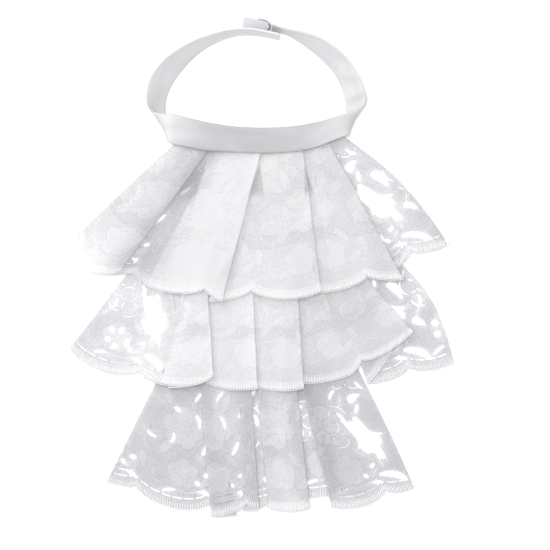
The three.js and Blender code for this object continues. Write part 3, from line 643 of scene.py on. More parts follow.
def gap_rim(gap, repeat):
    """The corners of a gap's rim on the flat lace, as places along and across."""
    sides = GAP_SIDES["small" if gap["length"] < SMALL_GAP else "wide"]
    angle = 2 * np.pi * np.arange(sides) / sides
    reach = 1 + gap["wave"] * np.cos(gap["lobes"] * angle)
    x = gap["length"] / 2 * reach * np.cos(angle)
    y = gap["width"] / 2 * reach * np.sin(angle) + gap["bow"] * x * x
    dx, dy = swung(x, y, -gap["turn"])
    return gap["along"] + repeat * SCALLOP_PITCH + dx, gap["across"] + dy


def clear_of_folds(tier, k, along, across):
    """Whether a gap's whole rim lies on a run, away from its folds."""
    start, end = tier["spans"][k]
    width = width_of_run(tier, tier["runs"][k], across / LACE_DEPTH)
    gone = width / 2 + along - (start + end) / 2
    return bool(np.all((gone > FOLD_MARGIN) & (width - gone > FOLD_MARGIN)))


def open_gaps(tier, k):
    """The gaps cut in a run, as pairs of a gap and the number of its repeat."""
    run = tier["runs"][k]
    start, end = tier["spans"][k]
    least = {"all": 0.0, "large": SMALL_GAP, "fine": math.inf}[run["open"]]
    gaps = [gap for gap in named(GAP_COLUMNS, GAPS) if gap["length"] >= least]
    gaps += named(GAP_COLUMNS, FINE_GAPS)
    repeats = range(math.floor(start / SCALLOP_PITCH) - 1, math.ceil(end / SCALLOP_PITCH))
    single = run["shape"].get("single", math.inf)
    return [
        (gap, repeat)
        for repeat in repeats
        for gap in gaps
        if gap["along"] + repeat * SCALLOP_PITCH <= single
        and clear_of_folds(tier, k, *gap_rim(gap, repeat))
    ]


def line_of(distance, width):
    """How far inside a line of a width a place is: positive on it."""
    return width / 2 - np.abs(distance)


def flower_marks(flower, along, across):
    """The flower's cloth, its slits and its raised threads, each positive inside."""
    x, y = turned(along, across, flower["along"], flower["across"], flower["turn"])
    rho, theta = np.hypot(x, y), np.arctan2(y, x)
    lobe = np.abs(np.cos(flower["petals"] * theta / 2))
    rim = flower["radius"] * (1 - PETAL_DIP + PETAL_DIP * np.sqrt(lobe))
    heart = flower["heart"] * flower["radius"]
    rim_thread = line_of(rho - rim + RIM_THREAD, THREAD_WIDTH)
    thread = np.maximum(rim_thread, line_of(rho - HEART_THREAD * heart, THREAD_WIDTH))
    if not flower["slits"]:
        return rim - rho, np.full_like(rho, FAR_OUTSIDE), thread
    parting = line_of(rho * lobe * 2 / flower["petals"], SLIT_WIDTH)
    span = np.minimum(rho - PETAL_PARTING["start"] * heart, rim - rho - PETAL_PARTING["inside"])
    bars = np.cos(flower["petals"] * theta + RIM_SLIT["turn"]) + RIM_SLIT["open"]
    rim_slit = np.minimum(line_of(rho - rim - RIM_SLIT["outside"], SLIT_WIDTH), bars)
    bars = np.cos(HEART_SLIT["bars"] * theta) + HEART_SLIT["open"]
    heart_slit = np.minimum(line_of(rho - heart, HEART_SLIT["width"]), bars)
    slit = np.maximum(np.maximum(np.minimum(parting, span), rim_slit), heart_slit)
    return rim - rho, slit, thread


def leaf_marks(leaf, along, across):
    """The leaf's cloth, the slit of its vein and its raised thread, each positive inside."""
    x, y = turned(along, across, leaf["along"], leaf["across"], leaf["turn"])
    half = leaf["length"] / 2
    rim = leaf["width"] / 2 * np.clip(1 - (x / half) ** 2, 0, 1) ** LEAF_FULLNESS
    cloth = np.where(np.abs(x) < half, rim - np.abs(y), -1.0 - np.abs(x) + half)
    vein = np.minimum(line_of(y, LEAF_VEIN["width"]), LEAF_VEIN["reach"] * leaf["length"] - np.abs(x))
    thread = np.minimum(line_of(np.abs(y) - rim + LEAF_THREAD, THREAD_WIDTH), half - np.abs(x))
    return cloth, vein, thread


def stem_thread(stem, along, across):
    """The thread of a curved stem, positive inside."""
    x, y = turned(along, across, stem["along"], stem["across"], 0)
    middle = math.radians((stem["start"] + stem["stop"]) / 2)
    spread = math.radians(stem["stop"] - stem["start"]) / 2
    away = np.abs((np.arctan2(y, x) - middle + np.pi) % (2 * np.pi) - np.pi)
    return np.minimum(line_of(np.hypot(x, y) - stem["radius"], THREAD_WIDTH), (spread - away) * STEM_TAPER)


def border_marks(along, across):
    """The woven border along the scallops: its cloth, its slits and its raised threads."""
    inside = lace_depth(along) - across
    share = (along / SCALLOP_PITCH) % 1
    bars = np.abs(np.sin(np.pi * along / BAR_PITCH)) * BAR_PITCH / np.pi - BAR_WIDTH / 2
    slit = np.full_like(inside, FAR_OUTSIDE)
    for row in BORDER_SLITS:
        span = np.minimum(share - row["start"], row["stop"] - share) * SCALLOP_PITCH
        long_slit = np.minimum(line_of(inside - row["inside"], row["width"]), span)
        slit = np.maximum(slit, np.minimum(long_slit, bars))
    threads = [line_of(inside - row["inside"], row["width"]) for row in BORDER_THREADS]
    return BORDER_DEPTH - inside, slit, np.maximum(*threads)


def flat_pattern(along, across):
    """Three fields of the flat lace, positive inside: its dense motifs, its slits and its raised threads."""
    dense, slit, thread = border_marks(along, across)
    for flower in named(FLOWER_COLUMNS, FLOWERS):
        marks = flower_marks(flower, along, across)
        dense, slit, thread = [np.maximum(a, b) for a, b in zip((dense, slit, thread), marks)]
    for leaf in named(LEAF_COLUMNS, LEAVES):
        marks = leaf_marks(leaf, along, across)
        dense, slit, thread = [np.maximum(a, b) for a, b in zip((dense, slit, thread), marks)]
    for stem in named(STEM_COLUMNS, STEMS):
        thread = np.maximum(thread, stem_thread(stem, along, across))
    return dense, slit, thread


def lace_pattern(tier, number, along, across):
    """Three fields of a tier's grid: whole, positive where there is cloth; motif and thread, 0 to 1.

    Gaps and slits are cut only in the runs that lie single.
    """
    dense, slit, thread = flat_pattern(along, across)
    whole = np.ones_like(along)
    for k, run in enumerate(tier["runs"]):
        if run["open"] is None:
            continue
        on = number == k
        last = np.minimum(along[on][-1:], run["shape"].get("single", math.inf))
        near_fold = np.minimum(along[on] - along[on][:1], last - along[on])
        seam_margin = LACE_DEPTH - HEM_SLITS if run["open"] == "fine" else SEAM_MARGIN
        whole[on] = np.maximum(-slit[on], np.maximum(FOLD_MARGIN - near_fold, seam_margin - across[on]))
        for gap, repeat in open_gaps(tier, k):
            rim = outside_gap(gap, repeat, along[on], across[on])
            whole[on] = np.minimum(whole[on], rim)
            thread[on] = np.maximum(thread[on], line_of(rim - GAP_THREAD, THREAD_WIDTH))
    return whole, smoothstep(0.5 + dense / MOTIF_EDGE), smoothstep(0.5 + thread / THREAD_EDGE)


def layer_below(tier, number, along, across):
    """The motifs of the cloth behind, 0 to 1, where it lies double, and halfway where it lies single."""
    dense, _, thread = flat_pattern(along + LAYER_SHIFT[0], across + LAYER_SHIFT[1])
    starts = [
        -math.inf if run["open"] is None else run["shape"].get("single", math.inf) for run in tier["runs"]
    ]
    starts = np.array([*starts, -math.inf])[number]  # the last one is for the folds
    double = smoothstep((along - starts[:, None]) / DOUBLE_EDGE)
    marks = np.maximum(dense / MOTIF_EDGE, thread / THREAD_EDGE)
    return mix(0.5, smoothstep(0.5 + marks), double)


def keep_largest(whole):
    """The field of whole cloth with its small loose islands turned into gaps."""
    kept = whole > 0
    label = np.full(kept.shape, -1)
    sizes = []
    columns, rows = kept.shape
    for seed in zip(*np.nonzero(kept)):
        if label[seed] >= 0:
            continue
        label[seed] = len(sizes)
        stack, count = [seed], 0
        while stack:
            i, j = stack.pop()
            count += 1
            for a, b in ((i + 1, j), (i - 1, j), (i, j + 1), (i, j - 1)):
                if 0 <= a < columns and 0 <= b < rows and kept[a, b] and label[a, b] < 0:
                    label[a, b] = len(sizes)
                    stack.append((a, b))
        sizes.append(count)
    largest = int(np.argmax(sizes))
    return np.where(kept & (label != largest), LOOSE_ISLAND, whole)


def cut_grid(whole, fields):
    """The faces of a grid where whole is positive, with the squares on a rim cut along it.

    fields: arrays of columns by rows by width. Returns the faces, and each field at their vertices.
    """
    columns, rows = whole.shape
    value = whole.ravel()
    flat = [field.reshape(columns * rows, -1) for field in fields]
    corner = np.arange(columns * rows).reshape(columns, rows)
    squares = np.stack([corner[:-1, :-1], corner[:-1, 1:], corner[1:, 1:], corner[1:, :-1]], axis=-1)
    squares = squares.reshape(-1, 4)
    inside = (value[squares] > 0).sum(axis=1)
    faces = squares[inside == 4].tolist()
    cuts, added = {}, [[] for _ in fields]
    for square in squares[(inside > 0) & (inside < 4)].tolist():
        face = []
        for n, a in enumerate(square):
            b = square[(n + 1) % 4]
            if value[a] > 0:
                face.append(a)
            if (value[a] > 0) != (value[b] > 0):
                edge = (min(a, b), max(a, b))
                if edge not in cuts:
                    low, high = edge
                    share = np.clip(value[low] / (value[low] - value[high]), LEAST_CUT, 1 - LEAST_CUT)
                    cuts[edge] = columns * rows + len(cuts)
                    for held, field in zip(added, flat):
                        held.append(mix(field[low], field[high], share))
                face.append(cuts[edge])
        faces.append(face)
    if cuts:
        flat = [np.concatenate([field, np.array(held)]) for field, held in zip(flat, added)]
    used = np.unique(np.concatenate([np.asarray(face) for face in faces]))
    number = np.full(len(flat[0]), -1)
    number[used] = np.arange(len(used))
    return [[int(number[v]) for v in face] for face in faces], [field[used] for field in flat]


# ------------------------------------------------------------------ objects
def new_object(name, points, faces, material, smooth=True):
    """A mesh piece from points in millimetres, at the origin, riding on the jabot's one body."""
    mesh = bpy.data.meshes.new(name)
    mesh.from_pydata((np.asarray(points) * MM).tolist(), [], [list(face) for face in faces])
    mesh.validate()
    mesh.polygons.foreach_set("use_smooth", [smooth] * len(mesh.polygons))
    mesh.materials.append(material)
    piece = bpy.data.objects.new(name, mesh)
    bpy.context.collection.objects.link(piece)
    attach(piece, "root")
    return piece


def add_place(piece, name, values):
    """Keeps a place on the flat cloth, in metres, with each vertex, as a vector the material reads."""
    attribute = piece.data.attributes.new(name, "FLOAT_VECTOR", "POINT")
    attribute.data.foreach_set("vector", (np.asarray(values, dtype=np.float32) * MM).ravel())


def add_share(piece, name, values):
    attribute = piece.data.attributes.new(name, "FLOAT", "POINT")
    attribute.data.foreach_set("value", np.asarray(values, dtype=np.float32).ravel())


def tube_faces(rings, sides):
    """The faces between the rings of an open tube whose points are numbered ring by ring."""
    faces = []
    for first in range(0, (rings - 1) * sides, sides):
        for n in range(sides):
            after = (n + 1) % sides
            faces.append([first + n, first + after, first + sides + after, first + sides + n])
    return faces


# ------------------------------------------------------------------ materials
# Sizes of what the eye sees in the cloths and the wire, in millimetres.
STITCH_ROWS = 1.8  # rows of cloth stitch: really 0.8, drawn wider so that they show
STITCH_TUFTS = 1.923  # threads that lie unevenly
LACE_WEAR = 11.11  # patches where the lace lies flatter
PLY_PITCH = 1.1  # the twist of the sewing thread: really 0.5, drawn wider
TWILL_PITCH = 0.9  # really 0.3, drawn as the finest that shows
SATIN_SLUB = 4.545
SATIN_PUCKERS = 16.67
TAPE_PICKS = 1.2  # really 0.4, drawn wider
TAPE_FUZZ = 1.111
NET_PITCH = 1.6  # the holes of the net and of the lace's ground: really 1.2, drawn wider
WIRE_LINES = 0.6667  # drawing lines: really finer than a hair
WIRE_WEAR = 3.333
SMOOTH = {"interpolation_type": "SMOOTHSTEP"}
OF_COLOURS = {"data_type": "RGBA"}
ADD = {"operation": "ADD"}
SUBTRACT = {"operation": "SUBTRACT"}
MULTIPLY = {"operation": "MULTIPLY"}
MULTIPLY_ADD = {"operation": "MULTIPLY_ADD"}


def add_node(material, kind, settings=None, inputs=None):
    """Adds one node to a material. An input that is a node or a socket is linked, and any other is set."""
    tree = material.node_tree
    node = tree.nodes.new(kind)
    for key, value in (settings or {}).items():
        setattr(node, key, value)
    for key, value in (inputs or {}).items():
        if isinstance(value, bpy.types.Node):
            value = value.outputs[0]
        if isinstance(value, bpy.types.NodeSocket):
            tree.links.new(value, node.inputs[key])
        else:
            node.inputs[key].default_value = value
    return node


def new_material(name):
    """An empty material, and the function that adds a node to it."""
    material = bpy.data.materials.new(name)
    material.use_nodes = True
    material.node_tree.nodes.clear()
    return material, partial(add_node, material)


def ripple(add, place, direction, pitch):
    """A cosine wave of a real pitch, in metres, along a direction of a place on the cloth."""
    wave_number = 2 * math.pi / pitch
    scaled = tuple(wave_number * c for c in direction)
    phase = add("ShaderNodeVectorMath", {"operation": "DOT_PRODUCT"}, {0: place, 1: scaled})
    return add("ShaderNodeMath", {"operation": "COSINE"}, {0: phase.outputs["Value"]})


def six_sided_net(add, place, pitch):
    """A hexagonal lattice of holes: about 3 in a hole's middle and -1.5 on the threads."""
    rows = pitch * math.sqrt(3) / 2
    total = 0.0
    for degrees in (90, 210, 330):
        angle = math.radians(degrees)
        wave = ripple(add, place, (math.cos(angle), math.sin(angle), 0), rows)
        total = add("ShaderNodeMath", ADD, {0: total, 1: wave})
    return total


def finish_cloth(add, colour, roughness, sheen, through, cover, relief, relief_depth):
    """Joins a cloth's surface, its share of light that comes through, and its see-through holes."""
    bump = add("ShaderNodeBump", inputs={"Strength": 1.0, "Distance": relief_depth, "Height": relief})
    surface = add(
        "ShaderNodeBsdfPrincipled",
        inputs={
            "Base Color": colour,
            "Roughness": roughness,
            "Sheen Weight": sheen,
            "Sheen Roughness": 0.5,
            "Normal": bump,
        },
    )
    glow = add("ShaderNodeBsdfTranslucent", inputs={"Color": colour})
    surface = add("ShaderNodeMixShader", inputs={0: through, 1: surface, 2: glow})
    if cover is not None:
        clear = add("ShaderNodeBsdfTransparent")
        surface = add("ShaderNodeMixShader", inputs={0: cover, 1: clear, 2: surface})
    add("ShaderNodeOutputMaterial", inputs={"Surface": surface})


def polyester_lace(look):
    """Polyester raschel lace: matt white threads, an open six-sided ground, and dense cloth in the motifs."""
    material, add = new_material("polyester raschel lace")
    place = add("ShaderNodeAttribute", {"attribute_name": "flat_place"}).outputs["Vector"]
    motif, thread, tone, below, shadow = (
        add("ShaderNodeAttribute", {"attribute_name": name}).outputs["Fac"]
        for name in ("motif", "thread", "tone", "below", "shadow")
    )
    dense = add("ShaderNodeMath", {"operation": "MAXIMUM"}, {0: motif, 1: thread})
    holes = six_sided_net(add, place, look.net_pitch)
    hole = add("ShaderNodeMapRange", SMOOTH, {"Value": holes, "From Min": 0.1, "From Max": 1.3})
    bare = add(
        "ShaderNodeMapRange",
        SMOOTH,
        {"Value": dense, "From Min": 0.2, "From Max": 0.8, "To Min": 1.0, "To Max": 0.0},
    )
    open_ground = add("ShaderNodeMath", MULTIPLY, {0: hole, 1: bare})
    cover = add("ShaderNodeMath", MULTIPLY_ADD, {0: open_ground, 1: -0.05, 2: 0.99})
    rows = ripple(add, place, (0.35, 0.94, 0), STITCH_ROWS * MM)
    tufts = add(
        "ShaderNodeTexNoise", inputs={"Vector": place, "Scale": 1 / (STITCH_TUFTS * MM), "Detail": 4.0}
    )
    wear = add("ShaderNodeTexNoise", inputs={"Vector": place, "Scale": 1 / (LACE_WEAR * MM), "Detail": 2.0})
    sunken = add("ShaderNodeMath", MULTIPLY_ADD, {0: open_ground, 1: -0.08, 2: tufts})
    relief = add("ShaderNodeMath", MULTIPLY_ADD, {0: rows, 1: 0.25, 2: sunken})
    # A rim is -0.25 on the outline of a motif and 0 away from it.
    rim, rim_below = (
        add("ShaderNodeMath", MULTIPLY, {0: marks, 1: add("ShaderNodeMath", SUBTRACT, {0: marks, 1: 1.0})})
        for marks in (motif, below)
    )
    # How bright the threads are painted: the run's painted light and shade, wear, the motifs and those of the
    # layer behind.
    for value, low, high, share in (
        (wear, 0.3, 0.7, 0.12),
        (tufts, 0.3, 0.7, 0.26),
        (dense, 0.0, 1.0, 0.15),
        (below, 0.0, 1.0, 0.12),
        (rim, -0.25, -0.1, 0.26),
        (rim_below, -0.24, -0.1, 0.2),
    ):
        levels = {"From Min": low, "From Max": high, "To Min": -share / 2, "To Max": share / 2}
        part = add("ShaderNodeMapRange", SMOOTH, {"Value": value, **levels})
        tone = add("ShaderNodeMath", ADD, {0: tone, 1: part})
    # Painted shade at the darker colour, painted light at the brighter one, with the threads' own unevenness
    # between.
    shade, colour, shadow_colour = ((*c, 1) for c in (look.lace_shade, look.lace_colour, look.lace_shadow))
    tint = add("ShaderNodeMix", OF_COLOURS, {"Factor": tone, "A": shade, "B": colour})
    inputs = {"Factor": shadow, "A": tint.outputs["Result"], "B": shadow_colour}
    tint = add("ShaderNodeMix", OF_COLOURS, inputs).outputs["Result"]
    finish_cloth(add, tint, 0.85, 0.15, 0.55, cover, relief, 0.12 * MM)
    return material


def stitch_thread(look):
    """Spun polyester thread: matt white, two plies twisted together."""
    material, add = new_material("spun polyester thread")
    place = add("ShaderNodeTexCoord").outputs["Object"]
    plies = ripple(add, place, (0.7, 0.7, 0.1), PLY_PITCH * MM)
    finish_cloth(add, (*look.lace_colour, 1), 0.8, 0.2, 0.15, None, plies, 0.1 * MM)
    return material


def polyester_satin(look):
    """Heavy polyester satin: smooth floats with a faint twill line, and a soft gleam along the strip, partly
    painted: painted light and shade along it, and painted sheen on its puckers.
    """
    material, add = new_material("heavy polyester satin")
    place = add("ShaderNodeAttribute", {"attribute_name": "flat_place"}).outputs["Vector"]
    # Painted light and shade along the strip, from the band's table.
    tone = add("ShaderNodeAttribute", {"attribute_name": "tone"}).outputs["Fac"]
    twill = ripple(add, place, (0.8, 0.6, 0), TWILL_PITCH * MM)
    slub = add("ShaderNodeTexNoise", inputs={"Vector": place, "Scale": 1 / (SATIN_SLUB * MM), "Detail": 4.0})
    # The puckers run along the strip, so their place is drawn in along it.
    drawn_in = add("ShaderNodeVectorMath", MULTIPLY, {0: place, 1: (0.35, 1.2, 1)})
    puckers = add(
        "ShaderNodeTexNoise", inputs={"Vector": drawn_in, "Scale": 1 / (SATIN_PUCKERS * MM), "Detail": 2.0}
    )
    lines = add("ShaderNodeMath", MULTIPLY, {0: twill, 1: 0.1})
    fine = add("ShaderNodeMath", MULTIPLY_ADD, {0: slub, 1: 0.4, 2: lines})
    relief = add("ShaderNodeMath", MULTIPLY_ADD, {0: puckers, 1: 3.0, 2: fine})
    # The puckers also brighten and darken the colour: painted sheen on them.
    levels = {"From Min": 0.35, "From Max": 0.65, "To Min": -0.07, "To Max": 0.07}
    pucker_sheen = add("ShaderNodeMapRange", SMOOTH, {"Value": puckers, **levels})
    tone = add("ShaderNodeMath", ADD, {0: tone, 1: pucker_sheen})
    inputs = {"Factor": tone, "A": (*look.satin_painted_shade, 1), "B": (*look.satin_colour, 1)}
    tint = add("ShaderNodeMix", OF_COLOURS, inputs).outputs["Result"]
    finish_cloth(add, tint, 0.42, 0.1, 0.2, None, relief, 0.4 * MM)
    return material


def ribbed_tape(look):
    """Woven grosgrain tape: matt, with fine cross threads over its ribs."""
    material, add = new_material("woven grosgrain tape")
    place = add("ShaderNodeAttribute", {"attribute_name": "flat_place"}).outputs["Vector"]
    picks = ripple(add, place, (1, 0, 0), TAPE_PICKS * MM)
    fuzz = add("ShaderNodeTexNoise", inputs={"Vector": place, "Scale": 1 / (TAPE_FUZZ * MM), "Detail": 3.0})
    relief = add("ShaderNodeMath", MULTIPLY_ADD, {0: picks, 1: 0.5, 2: fuzz})
    inputs = {"Factor": fuzz, "A": (*look.satin_colour, 1), "B": (*look.lace_colour, 1)}
    tint = add("ShaderNodeMix", OF_COLOURS, inputs).outputs["Result"]
    finish_cloth(add, tint, 0.75, 0.3, 0.6, None, relief, 0.2 * MM)
    return material


def cotton_net(look):
    """Cotton bobbinet: thin matt threads round six-sided holes."""
    material, add = new_material("cotton bobbinet")
    place = add("ShaderNodeAttribute", {"attribute_name": "flat_place"}).outputs["Vector"]
    holes = six_sided_net(add, place, NET_PITCH * MM)
    levels = {"From Min": -0.4, "From Max": 1.2, "To Min": 0.98, "To Max": 0.8}
    cover = add("ShaderNodeMapRange", SMOOTH, {"Value": holes, **levels})
    finish_cloth(add, (*look.net_colour, 1), 0.9, 0.1, 0.2, cover, holes, 0.1 * MM)
    return material


def nickel_wire(look):
    """Drawn steel wire with a nickel plate: grey, with fine drawing lines and worn, duller patches."""
    material, add = new_material("nickel-plated steel wire")
    place = add("ShaderNodeTexCoord").outputs["Object"]
    lines = add("ShaderNodeTexNoise", inputs={"Vector": place, "Scale": 1 / (WIRE_LINES * MM), "Detail": 2.0})
    wear = add("ShaderNodeTexNoise", inputs={"Vector": place, "Scale": 1 / (WIRE_WEAR * MM), "Detail": 3.0})
    levels = {"From Min": 0.3, "From Max": 0.7, "To Min": 0.22, "To Max": 0.45}
    dulled = add("ShaderNodeMapRange", SMOOTH, {"Value": wear, **levels})
    bump = add("ShaderNodeBump", inputs={"Strength": 0.4, "Distance": 0.03 * MM, "Height": lines})
    inputs = {"Base Color": (*look.wire_colour, 1), "Metallic": 1.0, "Roughness": dulled, "Normal": bump}
    metal = add("ShaderNodeBsdfPrincipled", inputs=inputs)
    add("ShaderNodeOutputMaterial", inputs={"Surface": metal})
    return material


def matt_board(studio):
    """Matt white board, evenly pale."""
    material, add = new_material("matt white board")
    inputs = {"Base Color": (*studio.floor_colour, 1), "Roughness": 0.95, "Specular IOR Level": 0.1}
    board = add("ShaderNodeBsdfPrincipled", inputs=inputs)
    add("ShaderNodeOutputMaterial", inputs={"Surface": board})
    return material


# ------------------------------------------------------------------ pieces of lace
def build_tier(tier, material):
    """One pleated tier of lace with its pattern cut through."""
    rows = math.ceil(LACE_DEPTH / CLOTH_STEP)
    points, along, across, number = cloth_columns(tier, rows, EDGE_SHORT)
    whole, motif, thread = lace_pattern(tier, number, along, across)
    below = layer_below(tier, number, along, across)
    whole = keep_largest(np.minimum(whole, 1.0))
    lift = crease_height(tier["name"], along, across) + MOTIF_RELIEF * motif + THREAD_RELIEF * thread
    points = points + grid_normals(points) * lift[..., None]
    points[..., 2] = np.maximum(points[..., 2], CLOTH_CLEARANCE)
    place = np.stack([along, across, np.zeros_like(along)], axis=-1)
    shares = {
        "motif": motif,
        "thread": thread,
        "below": below,
        # painted light and shade, run by run
        "tone": painted_light_of(tier, along),
        "shadow": shadow_of(tier["name"], points),
    }
    faces, (spots, places, *values) = cut_grid(whole, [points, place, *shares.values()])
    piece = new_object(tier["name"] + "_cloth", spots, faces, material)
    add_place(piece, "flat_place", places)
    for name, value in zip(shares, values):
        add_share(piece, name, value)
    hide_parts(tier["name"])
    return piece


def stitch_rings(start, end, up, width):
    """The rings of points of one overcast stitch, thin at both ends."""
    along = end - start
    along /= np.linalg.norm(along)
    side = np.cross(along, up)
    points = []
    for share, swell in STITCH_RINGS:
        middle = mix(start, end, share) + up * STITCH_LIFT * swell
        for n in range(STITCH_SIDES):
            angle = 2 * math.pi * n / STITCH_SIDES
            out = side * math.cos(angle) + up * STITCH_FLAT * math.sin(angle)
            points.append(middle + out * width / 2 * swell)
    return points


def stitch_faces():
    """The faces of one overcast stitch, closed at both ends."""
    rings = len(STITCH_RINGS)
    last = (rings - 1) * STITCH_SIDES
    ends = [list(range(STITCH_SIDES))[::-1], list(range(last, last + STITCH_SIDES))]
    return tube_faces(rings, STITCH_SIDES) + ends


def rim_thread(line, up):
    """The thread that links the tips of the overcast stitches: a square tube along a line of points."""
    run = np.gradient(line, axis=0)
    side = np.cross(run, up)
    side /= np.maximum(np.linalg.norm(side, axis=-1, keepdims=True), 1e-9)
    half = EDGE_RIM_WIDTH / 2
    corners = [line + side * half, line + up * half * 2, line - side * half, line - up * half * 0.2]
    spots = [spot for ring in np.stack(corners, axis=1) for spot in ring]
    return spots, tube_faces(len(line), len(corners))


def build_edge(tier, material):
    """The overcast stitches along a tier's scallops, one by one."""
    rows = math.ceil(LACE_DEPTH / CLOTH_STEP)
    points, along, across, _ = cloth_columns(tier, rows)
    lift = crease_height(tier["name"], along, across)
    normals = grid_normals(points)
    points = points + normals * lift[..., None]
    hem, hem_normal = points[:, -1], normals[:, -1]
    inner = math.ceil((EDGE_DEPTH + EDGE_ROOT) / CLOTH_STEP)
    root = points[:, -1 - inner]
    gone = np.concatenate([[0], np.cumsum(np.linalg.norm(np.diff(hem, axis=0), axis=-1))])
    stitch = stitch_faces()
    spots, faces = [], []
    for reach in np.arange(EDGE_ENDS[0], gone[-1] - EDGE_ENDS[1], EDGE_STITCH_PITCH):
        after = int(np.searchsorted(gone, reach))
        share = (reach - gone[after - 1]) / max(gone[after] - gone[after - 1], 1e-9)
        start = mix(root[after - 1], root[after], share)
        end = mix(hem[after - 1], hem[after], share)
        up = mix(hem_normal[after - 1], hem_normal[after], share)
        first = len(spots)
        spots.extend(stitch_rings(start, end, up / np.linalg.norm(up), EDGE_STITCH_WIDTH))
        faces.extend([first + v for v in face] for face in stitch)
    rim_spots, rim_faces = rim_thread(mix(hem, root, RIM_IN), hem_normal)
    faces.extend([len(spots) + v for v in face] for face in rim_faces)
    spots = np.array(spots + rim_spots)
    spots[:, 2] = np.maximum(spots[:, 2], STITCH_CLEARANCE)
    piece = new_object(tier["name"] + "_edge_stitches", spots, faces, material)
    return piece


# ------------------------------------------------------------------ strips
def between(rows, steps):
    """Smooth in-between values of a section table, as one array of rows by columns."""
    table = np.array(rows, float)
    count = len(table)
    made = []
    for i in range((count - 1) * steps + 1):
        k = min(i // steps, count - 2)
        u = i / steps - k
        a, b, c, d = (table[min(max(k + step, 0), count - 1)] for step in (-1, 0, 1, 2))
        made.append(b + 0.5 * u * (c - a + u * (2 * a - 5 * b + 4 * c - d + u * (3 * (b - c) + d - a))))
    return np.array(made)


def strip_frames(rows, steps, wall):
    """Along a strip: its middles, the directions across it and out of its face, and its widths."""
    at = dict(zip(SECTION_COLUMNS, between(rows, steps).T))
    turn, lean, width = np.radians(at["turn"]), np.radians(at["lean"]), at["width"]
    height = at["lift"] + width / 2 * np.sin(lean) + wall / 2 * np.cos(lean)
    middle = np.stack([at["x"], at["y"], height], axis=-1)
    wide = np.stack([np.cos(lean) * np.cos(turn), np.cos(lean) * np.sin(turn), np.sin(lean)], axis=-1)
    run = np.empty_like(middle)
    run[1:-1] = middle[2:] - middle[:-2]
    run[0], run[-1] = middle[1] - middle[0], middle[-1] - middle[-2]
    out = np.cross(run, wide)
    out /= np.linalg.norm(out, axis=-1, keepdims=True)
    return middle, wide, out, width


def build_strip(name, rows, steps, wall, outline, material, dents=(), painted_lights=((0, 0.5),)):
    """A closed strip of cloth. outline: its section as (across, through) pairs, across in half widths."""
    middle, wide, out, width = strip_frames(rows, steps, wall)
    gone = np.concatenate([[0], np.cumsum(np.linalg.norm(np.diff(middle, axis=0), axis=-1))])
    number = np.arange(len(middle)) / steps
    points, places = [], []
    for across, through in outline:
        sunk = np.zeros(len(middle))
        for dent in named(DENT_COLUMNS, dents):
            centre = np.interp(dent["at"], number, gone)
            aside = (across - dent["across"]) * DENT_HALF_WIDTH / dent["wide"]
            sunk += dent["deep"] * np.exp(-(((gone - centre) / dent["long"]) ** 2 + aside**2))
        points.append(middle + wide * (across * width / 2)[:, None] + out * (through + sunk)[:, None])
        places.append(np.stack([gone, across * width / 2, np.full(len(gone), through)], axis=-1))
    points = np.stack(points, axis=1)
    places = np.stack(places, axis=1)
    sides = len(outline)
    end = (len(middle) - 1) * sides
    faces = tube_faces(len(middle), sides)
    faces += [list(range(sides))[::-1], list(range(end, end + sides))]
    piece = new_object(name, points.reshape(-1, 3), faces, material)
    add_place(piece, "flat_place", places.reshape(-1, 3))
    # Painted light and shade along the strip.
    tone = np.interp(number, *zip(*painted_lights))
    add_share(piece, "tone", np.repeat(tone, sides))
    face_outwards(piece)
    return piece


def face_outwards(piece):
    """Turns all faces of a closed piece outwards."""
    bpy.ops.object.select_all(action="DESELECT")
    piece.select_set(True)
    bpy.context.view_layer.objects.active = piece
    bpy.ops.object.mode_set(mode="EDIT")
    bpy.ops.mesh.select_all(action="SELECT")
    bpy.ops.mesh.normals_make_consistent(inside=False)
    bpy.ops.object.mode_set(mode="OBJECT")
    piece.select_set(False)


def band_outline():
    """The folded strip's section: soft folded edges and a face that fills a little between them."""
    half = BAND_WALL / 2
    reach, count = BAND_FACE
    face = [(across, half * (1 - BAND_CROWN * across**4)) for across in np.linspace(reach, -reach, count)]
    one_side = face + [(across, half * through) for across, through in BAND_EDGE]
    return one_side + [(-across, -through) for across, through in one_side]


def tab_outline():
    """The tab's section, ribbed on both faces."""
    across = np.linspace(-1, 1, TAB_POINTS * TAB_RIBS + 1)
    groove = TAB_GROOVE * (0.5 + 0.5 * np.cos(np.pi * TAB_RIBS * (across + 1)))
    over = list(zip(across, TAB_WALL / 2 - groove))
    return [(a, -through) for a, through in over] + over[::-1]


